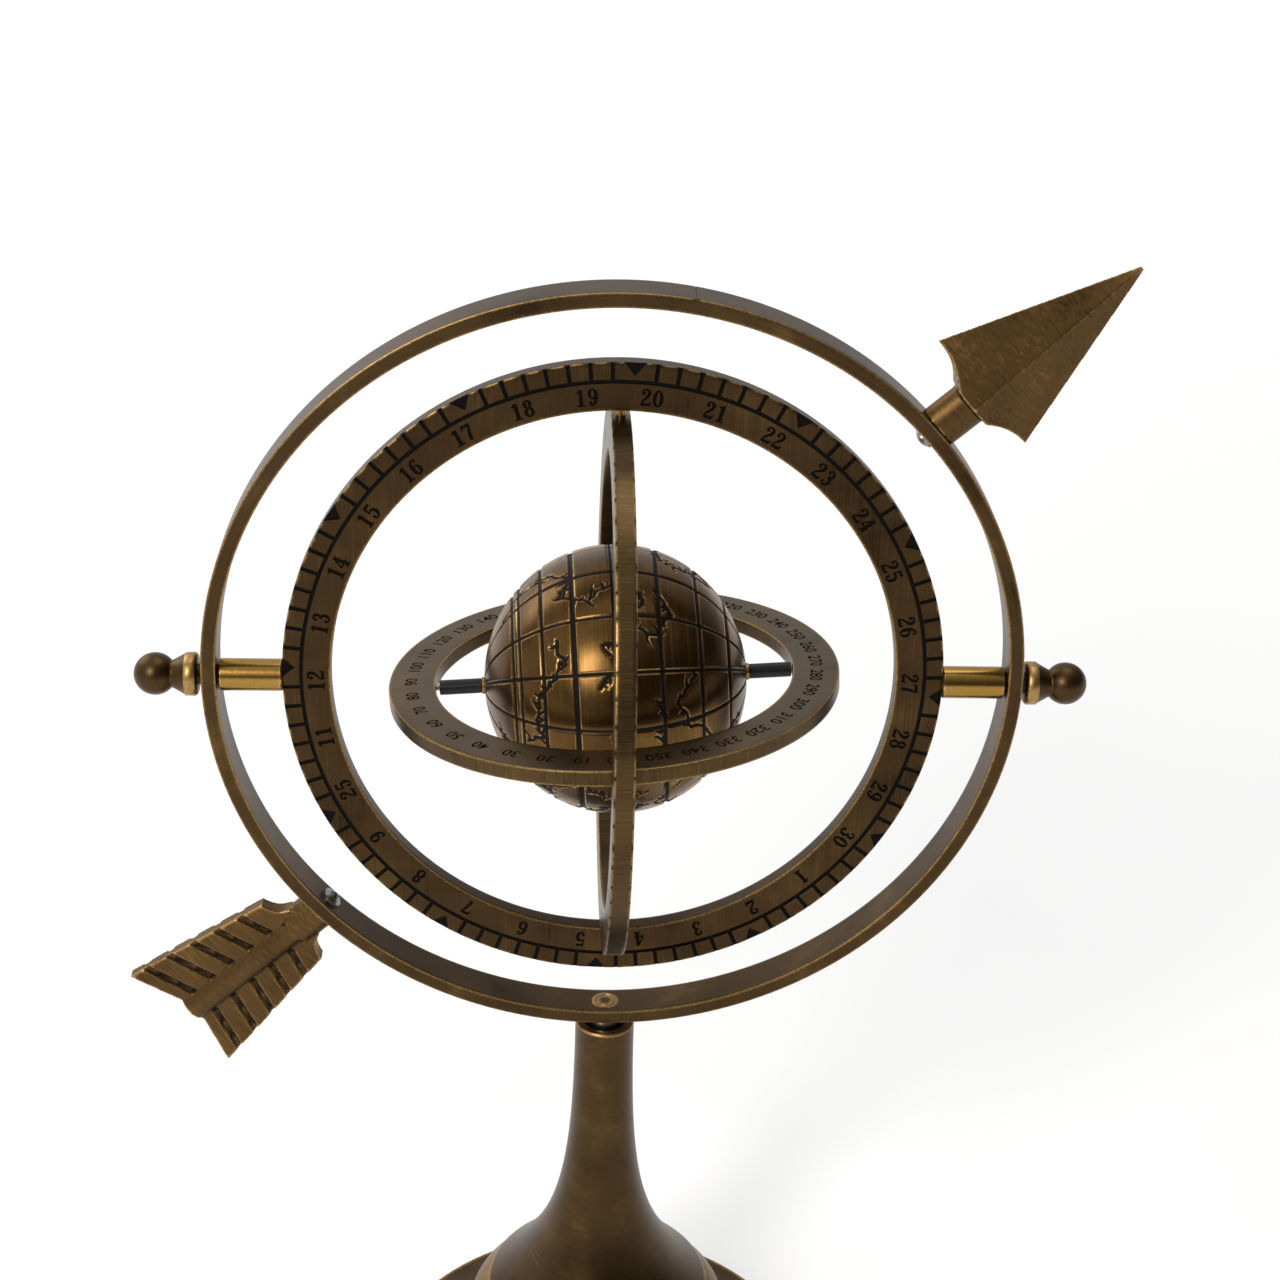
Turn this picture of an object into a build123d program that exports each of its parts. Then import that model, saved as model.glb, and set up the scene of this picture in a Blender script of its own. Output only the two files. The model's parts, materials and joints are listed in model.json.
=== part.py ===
from build123d import *
from math import atan, cos, degrees, pi, radians, sin, sqrt
import os

# Armillary sphere on a trumpet stem. Millimetres, +Z up, origin at the middle of the felt under
# the foot. +X points to the arrow-head side, -Y is the side of the engraved dial face.
# Every ring is drawn flat about its own axis first and then turned into place.

# Driving dimensions of the stand
sphere_centre_height = 241.0
felt_thickness = 1.0
felt_inset = 3.0
foot_radius = 65.5
foot_height = 35.0
foot_edge_height = 3.8
foot_edge_chamfer = 0.8
foot_top_band = 2.0
foot_top_chamfer = 0.6
foot_curve_drop = 18.2
foot_curve_reach = 21.2
foot_curve_rise = 2.0
foot_land = 9.5
foot_wall = 3.0
foot_crown_thickness = 4.0
cavity_curve_drop = 23.2
cavity_curve_reach = 14.0
cavity_curve_rise = 1.5
foot_spigot_height = 3.5
foot_spigot_wall = 3.0
collar_radius = 36.4
collar_height = 7.0
collar_slope_height = 5.0
collar_bore_radius = 24.0
stem_top_radius = 7.9
stem_skirt_radius = 31.5
stem_rim_gap = 2.05
stem_wall = 2.4
stem_root_wall = 1.1
stem_lip_height = 0.8
stem_root_floor = 1.0
stem_plug_thickness = 9.0
stem_well_depth = 4.4
stem_groove_height = 1.2
stem_groove_depth = 1.3

# Shape of the trumpet curve: how far it runs straight down from the top, then the length and the
# lean of the handle that brings it out to the skirt
trumpet_straight = 56.3
trumpet_reach = 28.2
trumpet_lean = 43.4

# Tie rod and its fasteners
rod_radius = 3.0
rod_boss_radius = 4.5
rivet_hole_spare = 1.0
rod_tail = 9.5
washer_radius = 12.0
washer_thickness = 1.6
nut_width = 10.0
nut_height = 5.0
rivet_radius = 2.0
rivet_head_radius = 3.6
rivet_head_height = 1.9
rivet_depth = 10.0

# Rings, from the outermost in: each bar, and the gap to the next ring
outer_ring_radius = 101.6
outer_ring_bar = 3.7
outer_ring_width = 10.3
dial_gap = 15.9
dial_bar = 11.9
dial_width = 4.85
meridian_gap = 1.8
meridian_bar = 11.0
meridian_width = 4.8
zodiac_gap = 1.4
zodiac_bar = 11.5
zodiac_width = 3.9
ring_edge = 0.35

# Globe, and the room between it and the zodiac ring
globe_gap = 10.9
globe_flattening = 0.9
globe_wall = 1.2
globe_lip = 1.5
globe_lip_wall = 0.8
globe_lip_fit = 0.1
globe_offset = 0.35
axle_radius = 0.65
axle_grip = 5.0
sleeve_radius = 1.85
sleeve_bore_gap = 0.1
sleeve_end_gap = 0.3
ferrule_radius = 1.5
ferrule_flange_radius = 2.1
ferrule_flange = 0.6
ferrule_tail = 1.2

# Pivots
stud_radius = 2.6
stud_tip_radius = 1.5
stud_tip_length = 8.0
tube_radius = 4.05
finial_gap = 1.3
finial_radius = 5.45
finial_barrel = 3.1
finial_chamfer = 0.5
finial_neck_radius = 3.3
finial_cone = 3.2
finial_ball_radius = 5.3
dial_pin_radius = 1.2
dial_pin_grip = 6.5
zodiac_screw_radius = 1.0
zodiac_screw_grip = 7.0
zodiac_head_radius = 1.5
zodiac_head_height = 1.0
zodiac_head_sink = 0.6
screw_slot_width = 0.5
screw_slot_depth = 0.4
screw_slot_turn = 25.0
pole_pin_sink = 0.1
blind_hole_spare = 0.5

# Arrow
arrow_lean = 42.3
arrow_neck_half = 5.4
arrow_neck_thickness_half = 4.2
neck_overlap = 6.0
head_back = 9.2
head_barb_back = 12.9
head_barb_bulge = 1.2
head_length = 46.2
head_half_width = 17.2
head_half_thickness = 6.0
head_tip_half = 0.6
tail_front = 9.0
tail_root_back = 3.5
tail_shoulder_back = 0.6
tail_shoulder_half_width = 7.2
tail_corner = 1.0
tail_front_half_width = 11.2
tail_length = 43.0
tail_back_half_width = 18.2
tail_notch = 5.5
tail_shaft_radius = 4.1
tail_shaft_overhang = 0.6
vane_centre_half = 2.6
vane_edge_half = 1.5
barb_count = 5
barb_pitch = 7.0
barb_first = 14.0
barb_width = 1.8
barb_depth = 0.7
barb_sweep = 18.0
barb_root_overlap = 1.4
pan_screw_radius = 1.5
pan_head_radius = 2.75
pan_head_height = 2.0
pan_head_chamfer = 0.6
pan_screw_depth = 9.0
pan_recess_radius = 1.2
pan_recess_depth = 0.9

# Dial face
scale_height = 4.7
groove_width = 0.95
engraving_depth = 0.4
hour_marks = 12
ticks_between = 7
tick_width = 1.0
hour_mark_half_width = 2.6
hour_mark_height = 3.2
hour_mark_phase = -2.2

# Clearances: on the radius of a turning pin, of a fixed pin, between pieces that pass, and
# between faces that meet
running_fit = 0.05
fixed_fit = 0.03
passing_gap = 0.35
face_gap = 0.05

# How far a cutter runs past the surface that it opens
past = 2.0

# Rest pose: the angles at which the rings stand
dial_tilt = -3.9
meridian_turn = 0.5
zodiac_tilt = -3.8

# Levels and radii that follow
foot_top = felt_thickness + foot_height
collar_top = foot_top + collar_height
stem_skirt = collar_top + stem_groove_height
ring_bottom = sphere_centre_height - outer_ring_radius
stem_top = ring_bottom - stem_rim_gap
well_floor = stem_top - stem_well_depth
rivet_end = ring_bottom - rivet_depth + rivet_hole_spare
outer_ring_bore = outer_ring_radius - outer_ring_bar
dial_radius = outer_ring_bore - dial_gap
dial_bore = dial_radius - dial_bar
meridian_radius = dial_bore - meridian_gap
meridian_bore = meridian_radius - meridian_bar
zodiac_radius = meridian_bore - zodiac_gap
zodiac_bore = zodiac_radius - zodiac_bar
groove_radius = dial_radius - scale_height
globe_radius = zodiac_bore - globe_gap
globe_half_length = globe_radius - globe_flattening
crown_underside = foot_top - foot_crown_thickness
finial_face = outer_ring_radius + finial_gap
washer_underside = crown_underside - washer_thickness
screw_head_seat = meridian_radius - zodiac_head_sink - zodiac_head_height

# Poses
centre = Pos(0, 0, sphere_centre_height)
upright = centre * Rot(X=90)
dial_frame = centre * Rot(X=dial_tilt)
dial_face = dial_frame * Rot(X=90)
meridian_frame = dial_frame * Rot(Z=meridian_turn)
meridian_face = meridian_frame * Rot(Y=-90)
zodiac_frame = meridian_frame * Rot(Y=zodiac_tilt)
globe_frame = zodiac_frame * Pos(globe_offset, 0, 0)
arrow_frame = centre * Rot(Y=-arrow_lean) * Rot(X=90)
tail_frame = arrow_frame * Rot(Z=180)

# Quarter turns that lay an upright turned piece along +X, -X, +Y or -Y, or stand it down
along_x = Rot(Y=90)
along_minus_x = Rot(Y=-90)
along_y = Rot(X=-90)
along_minus_y = Rot(X=90)
along_minus_z = Rot(X=180)


def turned(*outline):
    """Solid turned about Z from a closed half-profile drawn in (radius, height)."""
    return revolve(Plane.XZ * make_face(Curve() + list(outline)), axis=Axis.Z)


def pin(radius, start, end):
    """Upright round pin from height start to height end."""
    return Pos(0, 0, (start + end) / 2) * Cylinder(radius, abs(end - start))


def ring(radius, bar, width):
    """Flat ring about Z with small chamfers on its four corners."""
    section = Pos(radius - bar / 2, 0) * Rectangle(bar, width)
    section = chamfer(section.vertices(), ring_edge)
    return revolve(Plane.XZ * section, axis=Axis.Z)


def trumpet(top_radius, skirt_radius):
    """Concave flare from the narrow top down to the skirt's lip."""
    lean = radians(trumpet_lean)
    lip_top = stem_skirt + stem_lip_height
    return Bezier(
        (top_radius, stem_top),
        (top_radius, stem_top - trumpet_straight),
        (skirt_radius - trumpet_reach * sin(lean), lip_top + trumpet_reach * cos(lean)),
        (skirt_radius, lip_top),
    )


# Stand: the stem, collar and foot are clamped together by one tie rod

def make_stem():
    """Turned trumpet, hollow but for the plug near its top that the tie rod pulls on."""
    lip_top = stem_skirt + stem_lip_height
    root_radius = stem_skirt_radius - stem_groove_depth
    body = turned(
        trumpet(stem_top_radius, stem_skirt_radius),
        Polyline(
            (stem_skirt_radius, lip_top),
            (stem_skirt_radius, stem_skirt),
            (root_radius, stem_skirt),
            (root_radius, collar_top),
            (0, collar_top),
            (0, stem_top),
            (stem_top_radius, stem_top),
        ),
    )
    well_radius = stem_top_radius - stem_wall
    skirt_bore = root_radius - stem_root_wall
    floor = collar_top - stem_root_floor
    hollow = turned(
        trumpet(well_radius, skirt_bore),
        Polyline(
            (skirt_bore, lip_top),
            (skirt_bore, floor),
            (0, floor),
            (0, stem_top),
            (well_radius, stem_top),
        ),
    )
    plug = pin(stem_top_radius, well_floor - stem_plug_thickness, well_floor)
    body -= hollow - plug
    body -= pin(well_radius, well_floor, stem_top + past)
    return body - pin(rod_radius + fixed_fit, foot_top, stem_top)


def make_collar():
    """Ring with a sloping top edge, between the foot's crown and the stem's skirt."""
    return turned(
        Polyline(
            (collar_bore_radius, foot_top),
            (collar_radius, foot_top),
            (collar_radius, collar_top - collar_slope_height),
            (stem_skirt_radius, collar_top),
            (collar_bore_radius, collar_top),
            (collar_bore_radius, foot_top),
        )
    )


def make_foot():
    """Bell-shaped foot, hollow underneath, with a spigot that centres the collar."""
    edge_top = felt_thickness + foot_edge_height
    band_bottom = foot_top - foot_top_band
    curve_end = foot_radius - foot_edge_chamfer
    outside = Bezier(
        (collar_radius, band_bottom),
        (collar_radius, band_bottom - foot_curve_drop),
        (curve_end - foot_curve_reach, edge_top + foot_curve_rise),
        (curve_end, edge_top),
    )
    body = turned(
        outside,
        Polyline(
            (curve_end, edge_top),
            (foot_radius, edge_top - foot_edge_chamfer),
            (foot_radius, felt_thickness),
            (0, felt_thickness),
            (0, foot_top),
            (collar_radius - foot_top_chamfer, foot_top),
            (collar_radius, foot_top - foot_top_chamfer),
            (collar_radius, band_bottom),
        ),
    )
    cavity_radius = foot_radius - foot_land
    crown_radius = collar_radius - foot_wall
    cavity = turned(
        Bezier(
            (crown_radius, crown_underside),
            (crown_radius, crown_underside - cavity_curve_drop),
            (cavity_radius - cavity_curve_reach, felt_thickness + cavity_curve_rise),
            (cavity_radius, felt_thickness),
        ),
        Polyline(
            (cavity_radius, felt_thickness),
            (0, felt_thickness),
            (0, crown_underside),
            (crown_radius, crown_underside),
        ),
    )
    spigot_radius = collar_bore_radius - fixed_fit
    spigot = pin(spigot_radius, foot_top - foot_crown_thickness / 2, foot_top + foot_spigot_height)
    spigot -= pin(spigot_radius - foot_spigot_wall, foot_top, foot_top + foot_spigot_height + past)
    return body + spigot - cavity - pin(rod_radius + fixed_fit, 0, foot_top + past)


def make_felt():
    return pin(foot_radius - felt_inset, 0, felt_thickness)


def make_tie_rod():
    """Rod through the whole stand; its boss is hollowed to sit under the outer ring."""
    boss = pin(rod_boss_radius, well_floor, ring_bottom + past)
    boss -= centre * along_y * Cylinder(outer_ring_radius, 4 * rod_boss_radius)
    rod = pin(rod_radius, washer_underside - rod_tail, well_floor)
    return boss + rod - pin(rivet_radius + fixed_fit, ring_bottom - rivet_depth, ring_bottom + past)


def make_washer():
    body = pin(washer_radius, washer_underside, crown_underside)
    return body - pin(rod_radius + fixed_fit, washer_underside - past, crown_underside + past)


def make_nut():
    hexagon = RegularPolygon(nut_width / 2, 6, major_radius=False)
    body = Pos(0, 0, washer_underside - nut_height) * extrude(hexagon, nut_height)
    bore = pin(rod_radius + fixed_fit, washer_underside - nut_height - past, washer_underside + past)
    return body - bore


def rivet_head_level():
    """Distance from the centre of the ring to the flush face of the rivet's head."""
    return sqrt(outer_ring_bore**2 - rivet_head_radius**2)


def make_ring_rivet():
    head_level = sphere_centre_height - rivet_head_level()
    neck_level = head_level - rivet_head_height
    return turned(
        Polyline(
            (0, head_level),
            (rivet_head_radius, head_level),
            (rivet_radius, neck_level),
            (rivet_radius, rivet_end),
            (0, rivet_end),
            (0, head_level),
        )
    )


def rivet_seat():
    """Countersunk hole for the rivet, below the centre of the ring."""
    head_level = -rivet_head_level()
    neck_level = head_level - rivet_head_height
    return turned(
        Polyline(
            (0, head_level + past),
            (rivet_head_radius + fixed_fit, head_level + past),
            (rivet_head_radius + fixed_fit, head_level),
            (rivet_radius + fixed_fit, neck_level),
            (rivet_radius + fixed_fit, -outer_ring_radius - past),
            (0, -outer_ring_radius - past),
            (0, head_level + past),
        )
    )


def make_outer_ring():
    """Fixed ring of flat bar, with holes for the two studs, the arrow's screws and the rivet."""
    body = ring(outer_ring_radius, outer_ring_bar, outer_ring_width)
    start = outer_ring_bore - past
    end = outer_ring_radius + past
    stud_hole = along_x * pin(stud_radius + running_fit, start, end)
    screw_hole = along_x * pin(pan_screw_radius + fixed_fit, start, end)
    for turn in (0, 180):
        body -= Rot(Z=turn) * stud_hole
        body -= Rot(Z=arrow_lean + turn) * screw_hole
    return upright * body - centre * rivet_seat()


# Arrow: drawn lying along +X from the centre of the sphere, front face up

def neck(length):
    """Oval neck whose root is hollowed to sit on the outside of the ring."""
    section = Ellipse(arrow_neck_thickness_half, arrow_neck_half)
    body = Pos(outer_ring_radius - past, 0, 0) * along_x * extrude(section, length + past)
    return body - Cylinder(outer_ring_radius + face_gap, 4 * arrow_neck_half)


def screw_socket():
    end = outer_ring_radius + pan_screw_depth
    return along_x * pin(pan_screw_radius + fixed_fit, outer_ring_radius - past, end)


def rhombus(half_width, half_thickness):
    """Diamond section across the arrow, width along Y and thickness along Z."""
    corners = [(half_thickness, 0), (0, half_width), (-half_thickness, 0), (0, -half_width)]
    return make_face(Polyline(*corners, close=True))


def head_blade(start, barb, tip):
    """Diamond-section wedge that narrows from the barbs to the tip, and reaches back to start."""
    run = barb - start
    grow = 1 + run / head_length
    wide = rhombus(
        head_tip_half + (head_half_width - head_tip_half) * grow,
        head_tip_half + (head_half_thickness - head_tip_half) * grow,
    )
    point = rhombus(head_tip_half, head_tip_half)
    return loft([Pos(start, 0, 0) * along_x * wide, Pos(tip, 0, 0) * along_x * point])


def make_arrow_head():
    back = outer_ring_radius + head_back
    barb = outer_ring_radius + head_barb_back
    tip = barb + head_length
    middle_x = (back + barb) / 2 + head_barb_bulge
    middle_y = (arrow_neck_half + head_half_width) / 2
    plan = Curve() + [
        ThreePointArc((back, arrow_neck_half), (middle_x, middle_y), (barb, head_half_width)),
        Line((barb, head_half_width), (tip, head_tip_half)),
        Line((tip, head_tip_half), (tip, -head_tip_half)),
        Line((tip, -head_tip_half), (barb, -head_half_width)),
        ThreePointArc((barb, -head_half_width), (middle_x, -middle_y), (back, -arrow_neck_half)),
        Line((back, -arrow_neck_half), (back, arrow_neck_half)),
    ]
    blade = head_blade(back - past, barb, tip)
    blade &= extrude(make_face(plan), 4 * head_half_thickness, both=True)
    return arrow_frame * (blade + neck(head_back + neck_overlap) - screw_socket())


def vane_slope():
    """Fall of a vane's face from the shaft to its edge, in degrees."""
    return degrees(atan((vane_centre_half - vane_edge_half) / tail_back_half_width))


def barb_grooves(side, face):
    """Swept-back grooves cut across one vane on one face."""
    length = 2 * (tail_back_half_width - tail_shaft_radius)
    thickness = 3 * barb_depth
    bar = Pos(0, side * length / 2, 0) * Box(barb_width, length, thickness)
    level = face * (vane_centre_half - barb_depth + thickness / 2)
    lean = Rot(X=-side * face * vane_slope())
    root = Pos(0, side * (tail_shaft_radius - barb_root_overlap), 0)
    groove = lean * root * Rot(Z=-side * barb_sweep) * bar
    first = outer_ring_radius + barb_first
    return [Pos(first + index * barb_pitch, 0, level) * groove for index in range(barb_count)]


def vane_slab(start, end):
    """Both vanes in one slab, thickest along the shaft."""
    edge = tail_back_half_width + past
    corners = [
        (vane_centre_half, 0),
        (vane_edge_half, edge),
        (-vane_edge_half, edge),
        (-vane_centre_half, 0),
        (-vane_edge_half, -edge),
        (vane_edge_half, -edge),
    ]
    section = make_face(Polyline(*corners, close=True))
    return Pos(start, 0, 0) * along_x * extrude(section, end - start)


def make_arrow_tail():
    front = outer_ring_radius + tail_front
    back = front + tail_length
    notch = back - tail_notch
    notch_half = tail_shaft_radius - tail_corner
    root = front - tail_root_back
    corner = (front + tail_corner, tail_front_half_width)
    shoulder = (front - tail_shoulder_back, tail_shoulder_half_width)
    upper = [
        Spline((root, arrow_neck_half), shoulder, corner),
        Polyline(corner, (back, tail_back_half_width), (notch, notch_half)),
    ]
    lower = [mirror(edge, Plane.XZ) for edge in upper]
    ends = [
        Line((root, -arrow_neck_half), (root, arrow_neck_half)),
        Line((notch, notch_half), (notch, -notch_half)),
    ]
    plan = make_face(Curve() + upper + lower + ends)
    vanes = vane_slab(root - past, back + past) & extrude(plan, 3 * vane_centre_half, both=True)
    for side in (1, -1):
        for face in (1, -1):
            vanes -= barb_grooves(side, face)
    shaft = along_x * pin(tail_shaft_radius, front - past, notch + tail_shaft_overhang)
    return tail_frame * (vanes + shaft + neck(tail_front) - screw_socket())


def make_pan_screw():
    """Round-headed screw that enters the ring from inside, with a round drive recess."""
    under_head = sqrt(outer_ring_bore**2 - pan_head_radius**2)
    top = under_head - pan_head_height
    end = outer_ring_radius + pan_screw_depth - blind_hole_spare
    head = pin(pan_head_radius, top, under_head)
    head = chamfer(head.edges().group_by(Axis.Z)[0], pan_head_chamfer)
    head -= pin(pan_recess_radius, top - past, top + pan_recess_depth)
    return along_x * (head + pin(pan_screw_radius, under_head, end))


def make_arrow_screws():
    screw = make_pan_screw()
    return Compound(children=[centre * Rot(Y=turn - arrow_lean) * screw for turn in (0, 180)])


# Dial and the studs it hangs on

def scale_tick():
    """Bar that cuts one division, from the groove out to the rim."""
    length = scale_height + past
    return Pos(groove_radius + length / 2, 0, 0) * Box(length, tick_width, 2 * engraving_depth)


def hour_mark():
    """Triangle whose base lies on the rim and whose apex points inwards."""
    grow = (hour_mark_height + past) / hour_mark_height
    corners = [
        (dial_radius - hour_mark_height, 0),
        (dial_radius + past, hour_mark_half_width * grow),
        (dial_radius + past, -hour_mark_half_width * grow),
    ]
    outline = make_face(Polyline(*corners, close=True))
    return Pos(0, 0, -engraving_depth) * extrude(outline, 2 * engraving_depth)


def scale_groove():
    cutter = Cylinder(groove_radius + groove_width / 2, 2 * engraving_depth)
    return cutter - Cylinder(groove_radius - groove_width / 2, 2 * engraving_depth)


def make_dial_ring():
    """Flat ring with a scale cut into its front face, drilled for the studs and pole pins."""
    body = ring(dial_radius, dial_bar, dial_width)
    divisions = hour_marks * (ticks_between + 1)
    cuts = [scale_groove()]
    for index in range(divisions):
        cutter = scale_tick() if index % (ticks_between + 1) else hour_mark()
        cuts.append(Rot(Z=hour_mark_phase + index * 360 / divisions) * cutter)
    body -= [Pos(0, 0, dial_width / 2) * cutter for cutter in cuts]
    stud_hole = along_x * pin(
        stud_tip_radius + fixed_fit,
        dial_radius - stud_tip_length - blind_hole_spare,
        dial_radius + past,
    )
    pole_hole = along_y * pin(dial_pin_radius + fixed_fit, dial_bore - past, dial_radius + past)
    for turn in (0, 180):
        body -= Rot(Z=turn) * stud_hole
        body -= Rot(Z=turn) * pole_hole
    return dial_face * body


def finial_with_stud():
    """Ball and cone knob, turned in one piece with the stepped stud that carries the dial."""
    cone_foot = finial_face + finial_barrel
    neck_level = cone_foot + finial_cone
    rise = sqrt(finial_ball_radius**2 - finial_neck_radius**2)
    ball_centre = neck_level + rise
    step = dial_radius + face_gap
    side = (finial_ball_radius * cos(pi / 8), ball_centre + finial_ball_radius * sin(pi / 8))
    pole = (0, ball_centre + finial_ball_radius)
    return turned(
        ThreePointArc((finial_neck_radius, neck_level), side, pole),
        Polyline(
            pole,
            (0, dial_radius - stud_tip_length),
            (stud_tip_radius, dial_radius - stud_tip_length),
            (stud_tip_radius, step),
            (stud_radius, step),
            (stud_radius, finial_face),
            (finial_radius - finial_chamfer, finial_face),
            (finial_radius, finial_face + finial_chamfer),
            (finial_radius, cone_foot),
            (finial_neck_radius, neck_level),
        ),
    )


def spacer_tube():
    """Loose bright tube on the stud, between the outer ring and the dial's rim."""
    start = dial_radius + face_gap
    end = sqrt(outer_ring_bore**2 - tube_radius**2) - passing_gap
    return pin(tube_radius, start, end) - pin(stud_radius + running_fit, start - past, end + past)


# Meridian and zodiac rings

def make_meridian_ring():
    """Upright ring that turns on the pole pins and carries the zodiac ring's pivot screws."""
    body = ring(meridian_radius, meridian_bar, meridian_width)
    rim = meridian_radius + past
    pole_hole = along_x * pin(
        dial_pin_radius + running_fit, meridian_radius - dial_pin_grip - blind_hole_spare, rim
    )
    shank_hole = along_y * pin(zodiac_screw_radius + fixed_fit, meridian_bore - past, rim)
    head_hole = along_y * pin(zodiac_head_radius + passing_gap / 2, screw_head_seat, rim)
    for turn in (0, 180):
        for hole in (pole_hole, shank_hole, head_hole):
            body -= Rot(Z=turn) * hole
    return meridian_face * body


def pole_pin():
    """Pin pressed through the dial ring, on which the meridian ring turns."""
    return pin(dial_pin_radius, meridian_radius - dial_pin_grip, dial_radius - pole_pin_sink)


def pivot_screw():
    """Slotted screw that passes through the meridian ring and ends as the zodiac ring's pivot."""
    top = screw_head_seat + zodiac_head_height
    head = pin(zodiac_head_radius, screw_head_seat, top)
    slot = Pos(0, 0, top) * Box(screw_slot_width, 4 * zodiac_head_radius, 2 * screw_slot_depth)
    shank = pin(zodiac_screw_radius, zodiac_radius - zodiac_screw_grip, screw_head_seat)
    return head + shank - Rot(Z=screw_slot_turn) * slot


def make_zodiac_ring():
    """Flat ring across the sphere, drilled for the pivot screws and for the globe's axle."""
    body = ring(zodiac_radius, zodiac_bar, zodiac_width)
    screw_hole = along_y * pin(
        zodiac_screw_radius + running_fit,
        zodiac_radius - zodiac_screw_grip - blind_hole_spare,
        zodiac_radius + past,
    )
    axle_hole = along_x * pin(
        axle_radius + running_fit, zodiac_bore - past, zodiac_bore + axle_grip + blind_hole_spare
    )
    for turn in (0, 180):
        body -= Rot(Z=turn) * screw_hole
        body -= Rot(Z=turn) * axle_hole
    return zodiac_frame * body


# Globe: two pressed halves, drawn with the axle along Z and then laid along X

def dome(inset):
    """Solid half of the slightly flattened ball, its surface moved inwards by inset."""
    radius = globe_radius - inset
    height = globe_half_length - inset
    quarter = EllipticalCenterArc((0, 0), radius, height)
    return turned(quarter, Polyline((0, height), (0, 0), (radius, 0)))


def half_globe():
    shell = dome(0) - dome(globe_wall)
    return shell - pin(ferrule_radius + fixed_fit, 0, globe_half_length + past)


def make_globe_left():
    """Left half, with the lip that enters the right half at the seam."""
    lip_radius = globe_radius - globe_wall - globe_lip_fit
    root = pin(globe_radius, 0, globe_lip) & dome(globe_wall / 2)
    lip = pin(lip_radius, -globe_lip, 0) + root
    lip -= pin(lip_radius - globe_lip_wall, -globe_lip, globe_lip)
    return globe_frame * along_minus_x * (half_globe() + lip)


def make_globe_right():
    return globe_frame * along_x * half_globe()


def ferrule():
    """Flanged bush that centres a half of the globe on the axle."""
    top = globe_half_length + ferrule_flange
    body = pin(ferrule_radius, globe_half_length - globe_wall - ferrule_tail, top)
    body += pin(ferrule_flange_radius, globe_half_length - ferrule_flange, top) - dome(-fixed_fit)
    return body - pin(axle_radius + fixed_fit, 0, top + past)


def axle_sleeve():
    """Loose dark tube on the axle, between a ferrule and the zodiac ring."""
    start = globe_half_length + ferrule_flange + face_gap
    end = zodiac_bore - globe_offset - sleeve_end_gap
    return pin(sleeve_radius, start, end) - pin(axle_radius + sleeve_bore_gap, start - past, end + past)


def make_globe_axle():
    reach = zodiac_bore + axle_grip
    return zodiac_frame * along_x * pin(axle_radius, -reach, reach)


def build_nodes():
    """Every piece by its own name, in place at rest."""
    right = dial_frame * along_x
    left = dial_frame * along_minus_x
    return {
        "felt_pad": make_felt(),
        "foot": make_foot(),
        "collar": make_collar(),
        "stem": make_stem(),
        "tie_rod": make_tie_rod(),
        "rod_washer": make_washer(),
        "rod_nut": make_nut(),
        "ring_rivet": make_ring_rivet(),
        "outer_ring": make_outer_ring(),
        "arrow_head": make_arrow_head(),
        "arrow_tail": make_arrow_tail(),
        "arrow_screws": make_arrow_screws(),
        "dial_ring": make_dial_ring(),
        "finial_left": left * finial_with_stud(),
        "finial_right": right * finial_with_stud(),
        "spacer_tube_left": left * spacer_tube(),
        "spacer_tube_right": right * spacer_tube(),
        "pole_pin_top": dial_frame * pole_pin(),
        "pole_pin_bottom": dial_frame * along_minus_z * pole_pin(),
        "meridian_ring": make_meridian_ring(),
        "pivot_screw_front": meridian_frame * along_minus_y * pivot_screw(),
        "pivot_screw_back": meridian_frame * along_y * pivot_screw(),
        "zodiac_ring": make_zodiac_ring(),
        "globe_left": make_globe_left(),
        "globe_right": make_globe_right(),
        "globe_axle": make_globe_axle(),
        "ferrule_left": globe_frame * along_minus_x * ferrule(),
        "ferrule_right": globe_frame * along_x * ferrule(),
        "axle_sleeve_left": globe_frame * along_minus_x * axle_sleeve(),
        "axle_sleeve_right": globe_frame * along_x * axle_sleeve(),
    }


os.makedirs("parts", exist_ok=True)
for name, solid in build_nodes().items():
    export_step(solid, f"parts/{name}.step")
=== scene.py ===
import json
import math
import random

import bmesh
import bpy
import numpy as np
from mathutils import Matrix, Vector, kdtree


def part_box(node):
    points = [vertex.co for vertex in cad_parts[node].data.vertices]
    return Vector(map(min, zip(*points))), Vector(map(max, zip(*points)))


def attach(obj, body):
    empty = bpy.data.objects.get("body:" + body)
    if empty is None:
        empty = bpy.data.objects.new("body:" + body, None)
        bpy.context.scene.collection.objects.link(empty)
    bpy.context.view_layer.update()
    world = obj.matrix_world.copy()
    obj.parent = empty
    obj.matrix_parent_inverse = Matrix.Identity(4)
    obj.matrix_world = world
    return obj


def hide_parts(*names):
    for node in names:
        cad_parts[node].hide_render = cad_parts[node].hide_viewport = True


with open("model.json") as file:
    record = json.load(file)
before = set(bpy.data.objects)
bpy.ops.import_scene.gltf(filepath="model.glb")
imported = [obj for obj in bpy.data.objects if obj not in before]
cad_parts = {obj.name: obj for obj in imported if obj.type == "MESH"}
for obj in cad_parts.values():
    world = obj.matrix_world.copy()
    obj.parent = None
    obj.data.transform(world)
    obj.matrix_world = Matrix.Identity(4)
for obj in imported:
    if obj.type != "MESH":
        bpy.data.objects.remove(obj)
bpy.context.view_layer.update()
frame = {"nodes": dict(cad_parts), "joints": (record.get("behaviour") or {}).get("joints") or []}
scene = bpy.context.scene

# A desk armillary sphere in antique brass: nested rings, globe, arrow and trumpet stem.
# Sizes below are in millimetres. Each ring is modelled flat about its own axis and then laid
# into the place that the joints give it.

MM = 0.001

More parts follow.
